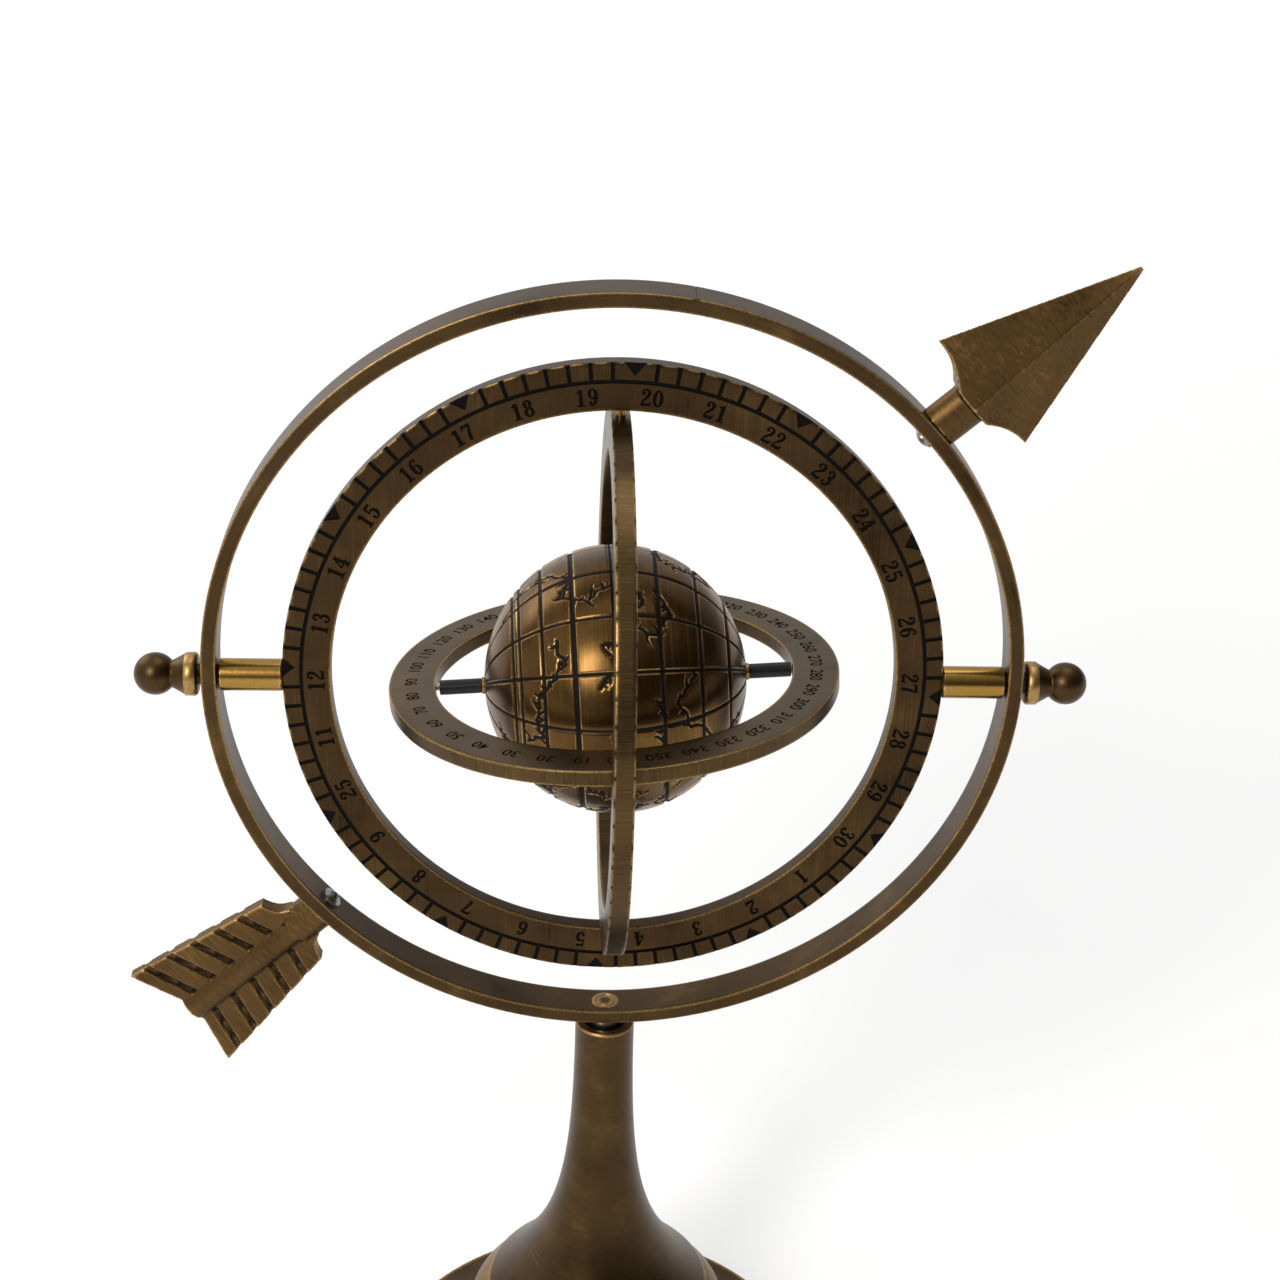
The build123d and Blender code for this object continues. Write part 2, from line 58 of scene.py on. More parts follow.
# Rings: outer radius, bar and width
OUTER_RING = (101.6, 3.7, 10.3)
DIAL_RING = (82.0, 11.9, 4.85)
MERIDIAN_RING = (68.3, 11.0, 4.8)
ZODIAC_RING = (55.9, 11.5, 3.9)
EDGE_ROUND = 0.35
RING_STEPS = 256

# Stand
STEM_TOP_RADIUS = 7.9
STEM_WALL = 2.4
STEM_WELL_DEPTH = 4.4
STEM_SKIRT_RADIUS = 31.5
STEM_LIP_HEIGHT = 0.8
STEM_GROOVE_HEIGHT = 1.2
STEM_GROOVE_DEPTH = 1.3
TRUMPET_STRAIGHT = 56.3
TRUMPET_REACH = 28.2
TRUMPET_LEAN = math.radians(43.4)
COLLAR_RADIUS = 36.4
COLLAR_BORE_RADIUS = 24.0
COLLAR_SLOPE_HEIGHT = 5.0
FOOT_RADIUS = 65.5
FOOT_BORE_RADIUS = 3.1
FOOT_EDGE_HEIGHT = 3.8
FOOT_EDGE_CHAMFER = 0.8
FOOT_TOP_BAND = 2.0
FOOT_CURVE_DROP = 18.2
FOOT_CURVE_REACH = 21.2
FOOT_CURVE_RISE = 2.0
STAND_STEPS = 160
STEM_CURVE_STEPS = 44
FOOT_CURVE_STEPS = 36

# Globe, studs and small parts
SMALL_STEPS = 64
TINY_STEPS = 48
GLOBE_RADIUS = 33.5
GLOBE_HALF_LENGTH = 32.6
GLOBE_OFFSET = 0.35
TUBE_RADIUS = 4.05
TUBE_BORE = 2.65
TUBE_EDGE = 0.3
TUBE_RING_GAP = 0.35
DIAL_RIM_GAP = 0.05
FINIAL_GAP = 1.3
FINIAL_RADIUS = 5.45
FINIAL_EDGE = 0.5
FINIAL_BARREL = 3.1
FINIAL_CONE = 3.2
FINIAL_CONE_EDGE = 0.3
FINIAL_NECK_RADIUS = 3.3
FINIAL_BALL_RADIUS = 5.3
# The ball starts this many degrees above its neck and ends in a small flat
FINIAL_BALL_START = 2
FINIAL_BALL_END = 86
FINIAL_BALL_STEPS = 22
STUD_RADIUS = 2.6
SLEEVE_RADIUS = 1.85
SLEEVE_BORE = 0.75
SLEEVE_START = 33.25
SLEEVE_END = 43.75
SLEEVE_EDGE = 0.15
RIVET_HEAD_RADIUS = 3.6
RIVET_RADIUS = 2.0
RIVET_DEPTH = 9.0
RIVET_SINK = 1.9
# Face of the rivet, as (distance in from its edge, height): a scribed circle and a low crown
RIVET_FACE = ((0.1, -0.06), (0.9, -0.1), (1.05, 0.1), (1.2, -0.1), (3.3, -0.14))
ARROW_LEAN = math.radians(42.3)
PAN_HEAD_RADIUS = 2.75
PAN_HEAD_HEIGHT = 2.0
PAN_EDGE_HEIGHT = 0.8
PAN_DOME_RADIUS = 3.4
PAN_DOME_TURNS = (-58, -88)
PAN_DOME_STEPS = 7
PAN_SHANK_RADIUS = 1.5
PAN_SHANK_DEPTH = 8.5
CROSS_WIDTH = 0.55
CROSS_LENGTH = 2.9
CROSS_DEPTH = 1.0

# Dial scale
GROOVE_RADIUS = 77.3
GROOVE_WIDTH = 0.95
ENGRAVING_DEPTH = 0.4
HOUR_MARKS = 12
TICKS_BETWEEN = 7
TICK_WIDTH = 1.0
HOUR_MARK_HALF_WIDTH = 2.6
HOUR_MARK_HEIGHT = 3.2
HOUR_MARK_PHASE = -2.2
# Clockwise from the left-hand stud; 25 stands in the place of 10, as on the object itself
DIAL_NUMBERS = (*range(12, 31), *range(1, 10), 25, 11)
DIAL_NUMBER_RADIUS = 73.7
DIAL_NUMBER_HEIGHT = 4.3
DIAL_NUMBER_START = 180.4

# Scales of the inner rings
MERIDIAN_TICK_WIDTH = 0.4
# Length of a division, and the degrees that carry one
MERIDIAN_TICKS = ((3.0, range(0, 360, 10)), (1.8, range(5, 360, 10)))
MERIDIAN_NUMBER_INSET = 1.4
MERIDIAN_NUMBER_HEIGHT = 2.6
ZODIAC_NUMBER_HEIGHT = 3.1
SEAM_WIDTH = 0.15
SEAM_DEPTH = 0.3
SEAM_ANGLE = 80.7


# Places that the joints give

def joint_axis(name):
    for joint in frame["joints"]:
        if joint["name"] == name:
            return Vector(joint["axis"]).normalized()
    raise ValueError(f"the frame has no joint {name}")


CENTRE = Vector(frame["joints"][0]["pos_m"])
DIAL_AXIS = joint_axis("dial_turn")
MERIDIAN_AXIS = joint_axis("meridian_turn")
ZODIAC_AXIS = joint_axis("zodiac_turn")
GLOBE_AXIS = joint_axis("globe_turn")


def place_on(x_axis, y_axis):
    """Matrix that lays a piece's own X and Y along two directions, about the sphere's centre."""
    z_axis = x_axis.cross(y_axis)
    turn = Matrix((x_axis, y_axis, z_axis)).transposed().to_4x4()
    return Matrix.Translation(CENTRE) @ turn


def upright_way(angle):
    """Direction in the outer ring's plane, at an angle up from the right."""
    return Vector((math.cos(angle), 0, math.sin(angle)))


def globe_place(direction):
    """Place on the globe's axle, with Z to the right for 1 and to the left for -1."""
    shift = Matrix.Translation(GLOBE_AXIS * GLOBE_OFFSET * MM)
    return shift @ place_on(-direction * GLOBE_AXIS.cross(ZODIAC_AXIS), ZODIAC_AXIS)


RIGHT = Vector((1, 0, 0))
BACK = Vector((0, 1, 0))
UP = Vector((0, 0, 1))
OUTER_PLACE = place_on(RIGHT, UP)
DIAL_PLACE = place_on(DIAL_AXIS, MERIDIAN_AXIS)
MERIDIAN_PLACE = place_on(MERIDIAN_AXIS, ZODIAC_AXIS)
ZODIAC_PLACE = place_on(GLOBE_AXIS, ZODIAC_AXIS)
ARROW_PLACE = place_on(
    upright_way(ARROW_LEAN),
    Vector((-math.sin(ARROW_LEAN), 0, math.cos(ARROW_LEAN))),
)
STEM_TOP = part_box("stem")[1].z / MM
FOOT_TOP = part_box("collar")[0].z / MM
COLLAR_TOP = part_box("collar")[1].z / MM
FELT_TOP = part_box("felt_pad")[1].z / MM


# Bench tools

def deselect():
    if bpy.context.object and bpy.context.object.mode != "OBJECT":
        bpy.ops.object.mode_set(mode="OBJECT")
    bpy.ops.object.select_all(action="DESELECT")


def choose(piece):
    deselect()
    piece.select_set(True)
    bpy.context.view_layer.objects.active = piece


def linked(made):
    """Links a new object to the scene."""
    scene.collection.objects.link(made)
    return made


def copy_of(piece):
    """Copy of a piece with a mesh of its own."""
    copy = linked(piece.copy())
    copy.data = piece.data.copy()
    return copy


def join(pieces):
    """Joins pieces into the first of them."""
    choose(pieces[0])
    for piece in pieces:
        piece.select_set(True)
    bpy.ops.object.join()
    return pieces[0]


def apply_modifier(piece, kind, **settings):
    """Gives a piece a modifier with these settings and works it in at once."""
    modifier = piece.modifiers.new("work", kind)
    for name, value in settings.items():
        setattr(modifier, name, value)
    choose(piece)
    bpy.ops.object.modifier_apply(modifier=modifier.name)


def cut_away(piece, cutter, **settings):
    """Cuts a cutter's shape out of a piece and throws the cutter away."""
    apply_modifier(piece, "BOOLEAN", operation="DIFFERENCE", solver="EXACT", object=cutter,
                   **settings)
    bpy.data.objects.remove(cutter)


def leave_edit(reach=0.00001):
    """Merges points within reach, in metres, turns all faces outward and leaves edit mode."""
    bpy.ops.mesh.select_all(action="SELECT")
    bpy.ops.mesh.remove_doubles(threshold=reach)
    bpy.ops.mesh.normals_make_consistent(inside=False)
    bpy.ops.object.mode_set(mode="OBJECT")


def close_ends(piece):
    """Fills the open ends of a turned piece."""
    choose(piece)
    bpy.ops.object.mode_set(mode="EDIT")
    bpy.ops.mesh.select_mode(type="EDGE")
    bpy.ops.mesh.select_all(action="DESELECT")
    bpy.ops.mesh.select_non_manifold()
    bpy.ops.mesh.edge_face_add()
    leave_edit()


def turned(name, outline, steps, closed=False):
    """Piece turned about its own Z: a circle is drawn out through each (radius, height) point.

    A closed outline comes back to its first point. Any other gets a flat face at each end.
    """
    deselect()
    first_radius, first_height = outline[0]
    bpy.ops.mesh.primitive_circle_add(
        vertices=steps, radius=first_radius * MM, location=(0, 0, first_height * MM)
    )
    piece = bpy.context.object
    piece.name = name
    bpy.ops.object.transform_apply()
    bpy.ops.object.mode_set(mode="EDIT")
    bpy.ops.mesh.select_all(action="SELECT")
    radius, height = first_radius, first_height
    stops = outline[1:] + ([outline[0]] if closed else [])
    for next_radius, next_height in stops:
        bpy.ops.mesh.extrude_edges_move(
            TRANSFORM_OT_translate={"value": (0, 0, (next_height - height) * MM)}
        )
        grow = next_radius / radius
        bpy.ops.transform.resize(
            value=(grow, grow, 1), center_override=(0, 0, next_height * MM)
        )
        radius, height = next_radius, next_height
    leave_edit()
    if not closed:
        close_ends(piece)
    return piece


def points_of(piece):
    """Every point of a piece, in millimetres, as an array."""
    flat = np.empty(len(piece.data.vertices) * 3)
    piece.data.vertices.foreach_get("co", flat)
    return flat.reshape(-1, 3) / MM


def keep_place(piece):
    """Remembers each point's place on the bench, in millimetres, so that grain follows the piece."""
    bench = piece.data.attributes.new("bench", "FLOAT_VECTOR", "POINT")
    bench.data.foreach_set("vector", points_of(piece).ravel())


def lay(piece, matrix):
    piece.data.transform(matrix)
    piece.data.update()
    return piece


def soft_shade(piece, angle=35):
    choose(piece)
    bpy.ops.object.shade_smooth_by_angle(angle=math.radians(angle))


def fit(piece, material, body, slot, *nodes):
    """Gives a finished piece its surface and body, and hides the CAD nodes it stands for. The slot
    is not used.
    """
    if not piece.data.materials:
        piece.data.materials.append(material)
    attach(piece, body)
    if nodes:
        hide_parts(*nodes)


# Corners painted bright, partly wear and partly painted highlight, and hollows painted darker

def mark_points(piece, name, values):
    """Gives each point of a piece a number, under a name that the materials read."""
    mark = piece.data.attributes.new(name, "FLOAT", "POINT")
    mark.data.foreach_set("value", values)


def rub_edges(piece, sharp=14.0):
    """Marks convex corners to be painted bright, partly wear and partly painted highlight, the more
    the sharper they are, up to 45 degrees.
    """
    work = bmesh.new()
    work.from_mesh(piece.data)
    values = [0.0] * len(work.verts)
    for edge in work.edges:
        if len(edge.link_faces) == 2 and edge.is_convex:
            angle = math.degrees(edge.calc_face_angle(0))
            if angle > sharp:
                for vertex in edge.verts:
                    values[vertex.index] = max(values[vertex.index], min(1.0, angle / 45))
    work.free()
    # These corners are painted brighter gold in the materials: partly wear, partly painted highlight
    mark_points(piece, "wear_and_highlight", values)


def work_over(piece, sharp=14.0, angle=35):
    """Marks a piece's corners for wear and painted highlight, keeps its place on the bench and
    shades it.
    """
    rub_edges(piece, sharp)
    keep_place(piece)
    soft_shade(piece, angle)


def weather(piece, depth=0.22, passes=25):
    """Marks corners to be painted bright, partly wear and partly painted highlight, and hollows to
    be painted darker, by how far a softened copy leaves them.
    """
    soft = copy_of(piece)
    apply_modifier(soft, "SMOOTH", factor=0.5, iterations=passes)
    outward = np.empty(len(piece.data.vertices) * 3)
    piece.data.vertices.foreach_get("normal", outward)
    raised = np.sum((points_of(soft) - points_of(piece)) * outward.reshape(-1, 3), axis=1)
    bpy.data.objects.remove(soft)
    # Ridges take the bright worn colour (partly wear, partly painted highlight); hollows take the
    # darker colour
    for name, value in (("wear_and_highlight", -raised / depth), ("hollow_dark", raised / depth)):
        mark_points(piece, name, np.clip(value, 0, 1))


# Outlines

def bezier(start, handle_a, handle_b, end, steps):
    """Points of a cubic curve through two handles, without its first point."""
    points = []
    for index in range(1, steps + 1):
        t = index / steps
        s = 1 - t
        points.append(tuple(
            s**3 * a + 3 * s * s * t * b + 3 * s * t * t * c + t**3 * d
            for a, b, c, d in zip(start, handle_a, handle_b, end)
        ))
    return points


def arc(centre, radius, start, end, steps):
    """Points of an arc in (radius, height), angles in degrees from the radius direction."""
    points = []
    for index in range(steps + 1):
        angle = math.radians(start + (end - start) * index / steps)
        points.append((centre[0] + radius * math.cos(angle),
                       centre[1] + radius * math.sin(angle)))
    return points


def ring_outline(radius, bar, width):
    """Section of a flat bar with rounded corners, and lines that keep the wear near the corners."""
    low, high = -width / 2, width / 2
    bore = radius - bar
    e = EDGE_ROUND
    f = 3 * e
    return [
        (bore + e, high), (bore + f, high), (radius - f, high), (radius - e, high),
        (radius - 0.3 * e, high - 0.3 * e), (radius, high - e), (radius, high - f),
        (radius, low + f), (radius, low + e), (radius - 0.3 * e, low + 0.3 * e),
        (radius - e, low), (radius - f, low), (bore + f, low), (bore + e, low),
        (bore + 0.3 * e, low + 0.3 * e), (bore, low + e), (bore, low + f), (bore, high - f),
        (bore, high - e), (bore + 0.3 * e, high - 0.3 * e),
    ]


# Engraving

# Strokes (x, y, half width) of bold slab-serif numerals, one unit high and 0.6 wide. A stroke
# that comes back to its first point is closed.

def corners(text):
    """Points written as plain numbers, with a comma between one point and the next."""
    return [tuple(float(value) for value in point.split()) for point in text.split(",")]


def oval(x, y, width, height):
    """Closed stroke, thick at its sides and thin at its top and bottom."""
    turns = [math.radians(45 * i) for i in range(9)]
    return [(x + width * math.cos(a), y + height * math.sin(a), 0.05 + 0.055 * math.cos(a) ** 2)
            for a in turns]


def line(text):
    """Stroke written in hundredths."""
    return [tuple(value / 100 for value in corner) for corner in corners(text)]


def drop(x, y, radius):
    """Round end of a stroke."""
    turns = [math.radians(90 * i) for i in range(5)]
    half = radius / 2
    return [(x + half * math.cos(a), y + half * math.sin(a), half * 0.95) for a in turns]


STROKES = {
    "0": [oval(0.30, 0.5, 0.19, 0.44)],
    "1": [line("32 3 11, 32 97 11"), line("30 93 5, 10 80 5"), line("10 5 5, 54 5 5")],
    "2": [line("9 74 5, 15 90 5, 31 94.5 6, 46 84 10, 45 66 10, 31 46 7, 14 27 5, 7 10 5"),
          line("5 10 9, 53 10 9"), line("54 5 4, 56 28 4"), drop(0.16, 0.74, 0.1)],
    "3": [line("12 82 5, 19 92 5, 32 95 6, 45 84 10, 43 65 8, 26 54 5"),
          line("26 55 5, 43 48 8, 48 27 10, 38 9 7, 23 5 5, 10 16 5"), drop(0.16, 0.79, 0.09),
          drop(0.15, 0.21, 0.09)],
    "4": [line("38 94 5, 6 33 5"), line("3 31 5.5, 58 31 5.5"), line("41 97 11, 41 4 11"),
          line("22 4 4.5, 58 4 4.5")],
    "5": [line("13 97 5, 11 52 5"), line("10 91 8, 50 91 8"),
          line("11 53 5, 26 60 6, 42 53 10, 48 32 10.5, 40 12 8, 24 5 5, 10 15 5"),
          drop(0.15, 0.21, 0.09)],
    "6": [oval(0.31, 0.31, 0.18, 0.255), line("13 30 10, 14 62 10, 26 87 7, 40 94 5, 50 86 5"),
          drop(0.46, 0.8, 0.08)],
    "7": [line("5 90 8.5, 55 90 8.5"), line("7 95 4.5, 5 70 4.5"),
          line("52 88 5, 36 50 9, 28 3 11")],
    "8": [oval(0.3, 0.74, 0.15, 0.2), oval(0.3, 0.28, 0.185, 0.23)],
}
STROKES["9"] = [[(0.61 - x, 1 - y, half) for x, y, half in stroke] for stroke in STROKES["6"]]
DIGIT_PITCH = 0.68
DIGIT_MIDDLE = 0.3
# Plain letters: type size for a height of 1, and how much bolder they are drawn
LETTER_SIZE = 1.4
LETTER_SWELL = 0.02
# A face of a cutter leaves a floor where its normal is more upright than this
CUT_FLOOR_UPRIGHT = 0.7


def as_mesh(drawn):
    """Turns a curve or a word into a closed mesh piece."""
    choose(drawn)
    bpy.ops.object.convert(target="MESH")
    bpy.ops.object.mode_set(mode="EDIT")
    leave_edit(0.000001)
    return bpy.context.object


def graver_tip():
    """Square tip whose width follows the stroke's half width."""
    deselect()
    bpy.ops.mesh.primitive_plane_add(size=2 * MM)
    tip = bpy.context.object
    bpy.ops.object.convert(target="CURVE")
    return tip


def serif_number(text, height, tip):
    """Cutter for a number, its middle at the origin and its top towards +Y."""
    drawing = bpy.data.curves.new(f"number_{text}", "CURVE")
    drawing.dimensions = "3D"
    drawing.twist_mode = "Z_UP"
    drawing.bevel_mode = "OBJECT"
    drawing.bevel_object = tip
    drawing.use_fill_caps = True
    drawing.resolution_u = 4
    for place, digit in enumerate(text):
        shift = (place - (len(text) - 1) / 2) * DIGIT_PITCH - DIGIT_MIDDLE
        for stroke in STROKES[digit]:
            spline = drawing.splines.new("BEZIER")
            closed = math.dist(stroke[0][:2], stroke[-1][:2]) < 0.001
            spline.use_cyclic_u = closed
            bends = stroke[:-1] if closed else stroke
            spline.bezier_points.add(len(bends) - 1)
            for point, (x, y, half) in zip(spline.bezier_points, bends):
                point.co = ((x + shift) * height * MM, (y - 0.5) * height * MM, 0)
                point.radius = half * height
                point.handle_left_type = "AUTO"
                point.handle_right_type = "AUTO"
    number = as_mesh(linked(bpy.data.objects.new(f"number_{text}", drawing)))
    for point in number.data.vertices:
        point.co.z = math.copysign(ENGRAVING_DEPTH * MM, point.co.z)
    return number


def plain_number(text, height):
    """Cutter for a number in plain sans letters."""
    deselect()
    bpy.ops.object.text_add()
    word = bpy.context.object
    word.data.body = text
    word.data.size = height * MM * LETTER_SIZE
    word.data.align_x = "CENTER"
    word.data.align_y = "CENTER"
    word.data.offset = height * MM * LETTER_SWELL
    word.data.extrude = ENGRAVING_DEPTH * MM
    word.data.resolution_u = 3
    return as_mesh(word)


def box_cutter(x, z, sizes):
    """Box cutter with its middle at x and z, and its three sizes."""
    deselect()
    bpy.ops.mesh.primitive_cube_add(size=MM, location=(x * MM, 0, z * MM))
    box = bpy.context.object
    box.scale = sizes
    bpy.ops.object.transform_apply()
    return box


def bar_cutter(start, end, width):
    """Cutter for one division, from one radius to another."""
    return box_cutter((start + end) / 2, 0, (end - start, width, 2 * ENGRAVING_DEPTH))


def wedge_cutter(apex, base, half_width):
    """Triangular cutter with its apex towards the centre."""
    deselect()
    bpy.ops.mesh.primitive_cylinder_add(vertices=3, radius=MM, depth=MM)
    wedge = bpy.context.object
    wedge.rotation_euler.z = math.radians(90)
    bpy.ops.object.transform_apply()
    wedge.scale = ((base - apex) / 1.5, half_width / math.cos(math.radians(30)),
                   2 * ENGRAVING_DEPTH)
    wedge.location.x = (base - (base - apex) / 3) * MM
    bpy.ops.object.transform_apply()
    return wedge


def groove_cutter(inner, outer):
    """Cutter for a round groove between two radii."""
    depth = ENGRAVING_DEPTH
    return turned("groove", [(inner, -depth), (outer, -depth), (outer, depth), (inner, depth)],
                  RING_STEPS, closed=True)


def at_angle(degrees, radius, level, upright=0):
    """Matrix that sets a cutter on a ring's face; upright turns it about its own middle."""
    turn = Matrix.Rotation(math.radians(degrees), 4, "Z")
    spin = Matrix.Rotation(math.radians(upright), 4, "Z")
    return turn @ Matrix.Translation((radius * MM, 0, level * MM)) @ spin


def engrave(piece, cuts):
    """Sinks all the cutters at once. Their walls come out bright, partly bare brass and partly
    painted highlight, their floors black.

    Each cut is a cutter and the places where a copy of it goes.
    """
    copies = []
    for cutter, places in cuts:
        for place in places:
            copy = copy_of(cutter)
            copy.data.materials.clear()
            # Walls take a lighter brass: partly bare cut metal, partly painted lip highlight
            copy.data.materials.append(bright_cut_wall)
            copy.data.materials.append(blackened)
            for face in copy.data.polygons:
                face.material_index = int(abs(face.normal.z) > CUT_FLOOR_UPRIGHT)
            copy.data.transform(place)
            copies.append(copy)
        bpy.data.objects.remove(cutter)
    cut_away(piece, join(copies), use_self=True, material_mode="TRANSFER")


# Materials

ROUND = "round"
# Lengths in the noise are one over these, in millimetres
PATCH_SCALE = 0.045
GRIT_SCALE = 1.3
# Hollow mark at which the colour begins to darken, and is as dark as it gets
PIT_START = 0.35
PIT_END = 0.6
PIT_COLOUR = "#0e0a07"


def linear(hex_colour):
    """sRGB hex to linear colour."""
    channels = [int(hex_colour[i:i + 2], 16) / 255 for i in (1, 3, 5)]
    return tuple(
        c / 12.92 if c <= 0.04045 else ((c + 0.055) / 1.055) ** 2.4 for c in channels
    ) + (1.0,)


def add_node(material, kind, inputs, **settings):
    """Adds a node, sets its own settings, and gives each input a value or an output.

    A node given as an input stands for its first output.
    """
    node = material.node_tree.nodes.new("ShaderNode" + kind)
    for name, value in settings.items():
        setattr(node, name, value)
    for name, value in inputs.items():
        if isinstance(value, bpy.types.Node):
            value = value.outputs[0]
        if isinstance(value, bpy.types.NodeSocket):
            material.node_tree.links.new(value, node.inputs[name])
        else:
            node.inputs[name].default_value = value
    return node


def new_material(name):
    material = bpy.data.materials.new(name)
    material.use_nodes = True
    material.node_tree.nodes.clear()
    return material


def brushed_place(material, bench, brush, fineness):
    """Place in millimetres, squeezed so that noise on it runs in lines along the brush.

    The brush is ROUND, round the piece's own axis, or a direction of the piece.
    """
    if brush != ROUND:
        squeeze = [0.05 if along else fineness for along in brush]
        return add_node(material, "VectorMath", {0: bench, 1: squeeze}, operation="MULTIPLY")
    flat = add_node(material, "VectorMath", {0: bench, 1: (1, 1, 0)}, operation="MULTIPLY")
    radius = add_node(material, "VectorMath", {0: flat}, operation="LENGTH")
    around = add_node(material, "VectorMath", {0: flat}, operation="NORMALIZE")
    level = add_node(material, "SeparateXYZ", {0: bench})
    across = add_node(material, "Math", {0: level.outputs[2], 1: 1.7, 2: radius.outputs["Value"]},
                      operation="MULTIPLY_ADD")
    across = add_node(material, "Math", {0: across, 1: fineness}, operation="MULTIPLY")
    lift = add_node(material, "CombineXYZ", {2: across})
    return add_node(material, "VectorMath", {0: around, 1: lift}, operation="ADD")


def antique_brass(name, brush, dark, mid, light, wear_and_highlight_colour="#b3905a", roughness=0.36, fineness=3.0,
                  contrast=0.5, scratch=0.010, mottle=0.9):
    """Brass aged brown under satin lacquer, brushed; marked corners are painted bright, partly wear
    and partly painted highlight.

    It looks deep brown, and gold only in highlights and on corners. The brush leaves lines
    under 0.1 mm wide, drawn here 0.2 to 0.4 mm wide so that they show.
    """
    material = new_material(name)
    bench = add_node(material, "Attribute", {}, attribute_name="bench").outputs["Vector"]
    wear_and_highlight = add_node(material, "Attribute", {}, attribute_name="wear_and_highlight").outputs["Fac"]
    hollow_dark = add_node(material, "Attribute", {}, attribute_name="hollow_dark").outputs["Fac"]
    brushed = brushed_place(material, bench, brush, fineness)
    lines = add_node(material, "TexNoise",
                     {"Vector": brushed, "Scale": 1.0, "Detail": 3.0, "Roughness": 0.6})
    patches = add_node(material, "TexNoise",
                       {"Vector": bench, "Scale": PATCH_SCALE, "Detail": 4.0, "Roughness": 0.6})
    grit = add_node(material, "TexNoise",
                    {"Vector": bench, "Scale": GRIT_SCALE, "Detail": 3.0, "Roughness": 0.7})
    both = add_node(material, "Math", {0: lines, 1: contrast, 2: 0.5 - contrast / 2 - mottle / 2},
                    operation="MULTIPLY_ADD")
    tone = add_node(material, "Math", {0: patches, 1: mottle, 2: both}, operation="MULTIPLY_ADD")
    low = add_node(material, "MapRange", {0: tone, 1: 0.2, 2: 0.5}, interpolation_type="SMOOTHSTEP")
    high = add_node(material, "MapRange", {0: tone, 1: 0.5, 2: 0.8},
                    interpolation_type="SMOOTHSTEP")
    brown = add_node(material, "Mix", {0: low, 6: linear(dark), 7: linear(mid)}, data_type="RGBA")
    brown = add_node(material, "Mix", {0: high, 6: brown.outputs[2], 7: linear(light)},
                     data_type="RGBA")
    # Painted highlight, partly wear: marked corners and ridges take the bright worn colour
    wear_and_highlight_mix = add_node(material, "Math", {0: grit, 1: 1.3, 2: 0.15}, operation="MULTIPLY_ADD")
    wear_and_highlight_mix = add_node(material, "Math", {0: wear_and_highlight_mix, 1: wear_and_highlight}, operation="MULTIPLY")
    wear_and_highlight_mix = add_node(material, "MapRange", {0: wear_and_highlight_mix, 1: 0.25, 2: 0.8, 4: 0.8})
    gold = add_node(material, "Mix", {0: wear_and_highlight_mix, 6: brown.outputs[2], 7: linear(wear_and_highlight_colour)},
                    data_type="RGBA")
    # Marked hollows are painted darker, to near black at the strongest marks
    pit = add_node(material, "MapRange", {0: hollow_dark, 1: PIT_START, 2: PIT_END})
    colour = add_node(material, "Mix", {0: pit, 6: gold.outputs[2], 7: linear(PIT_COLOUR)},
                      data_type="RGBA")
    rough = add_node(material, "Math", {0: lines, 1: 0.14, 2: roughness - 0.07},
                     operation="MULTIPLY_ADD")
    rough = add_node(material, "Math", {0: pit, 1: 0.35, 2: rough}, operation="MULTIPLY_ADD")
    metal = add_node(material, "MapRange",
                     {0: hollow_dark, 1: PIT_START, 2: PIT_END, 3: 1.0, 4: 0.7})
    height = add_node(material, "Math", {0: grit, 1: 0.2, 2: lines}, operation="MULTIPLY_ADD")
    bump = add_node(material, "Bump", {"Height": height, "Strength": 0.4, "Distance": scratch * MM})
    shader = add_node(material, "BsdfPrincipled",
                      {"Base Color": colour.outputs[2], "Roughness": rough, "Metallic": metal,
                       "Normal": bump})
    add_node(material, "OutputMaterial", {"Surface": shader})
    return material


def fine_surface(name, colour, roughness, grain, depth, metallic=0.0, tint=0.15, specular=0.5):
    """Even surface with a fine grain, its size and depth in millimetres."""
    material = new_material(name)
    place = add_node(material, "TexCoord", {}).outputs["Object"]
    speck = add_node(material, "TexNoise",
                     {"Vector": place, "Scale": 1 / (grain * MM), "Detail": 3.0})
    paler = tuple(min(1.0, c * (1 + tint)) for c in linear(colour))
    darker = tuple(c * (1 - tint) for c in linear(colour)[:3]) + (1.0,)
    tone = add_node(material, "Mix", {0: speck, 6: darker, 7: paler}, data_type="RGBA")
    rough = add_node(material, "Math", {0: speck, 1: 0.16, 2: roughness - 0.08},
                     operation="MULTIPLY_ADD")
    bump = add_node(material, "Bump", {"Height": speck, "Strength": 0.4, "Distance": depth * MM})
    shader = add_node(material, "BsdfPrincipled",
                      {"Base Color": tone.outputs[2], "Roughness": rough, "Metallic": metallic,
                       "Specular IOR Level": specular, "Normal": bump})
    add_node(material, "OutputMaterial", {"Surface": shader})
    return material


# Spun and lathe-finished: fine lines run round, so highlights spread into soft bands
turned_brass = antique_brass("antique_brass_turned", ROUND, "#221911", "#483722", "#6b5433",
                             roughness=0.38, fineness=3.2, contrast=0.35, scratch=0.006)
# Belt sanded flat: straight scratches along one way, dull and even
sanded_brass = antique_brass("antique_brass_belt_sanded", (0, 1, 0), "#221911", "#41311e",
                             "#5a4529", roughness=0.4, scratch=0.006)
# Brushed across its narrow edge: short lines side by side that flicker as the ring turns
rim_brass = antique_brass("antique_brass_cross_brushed", (0, 0, 1), "#261d13", "#524129",
                          "#6d5635", fineness=2.4, contrast=0.6)
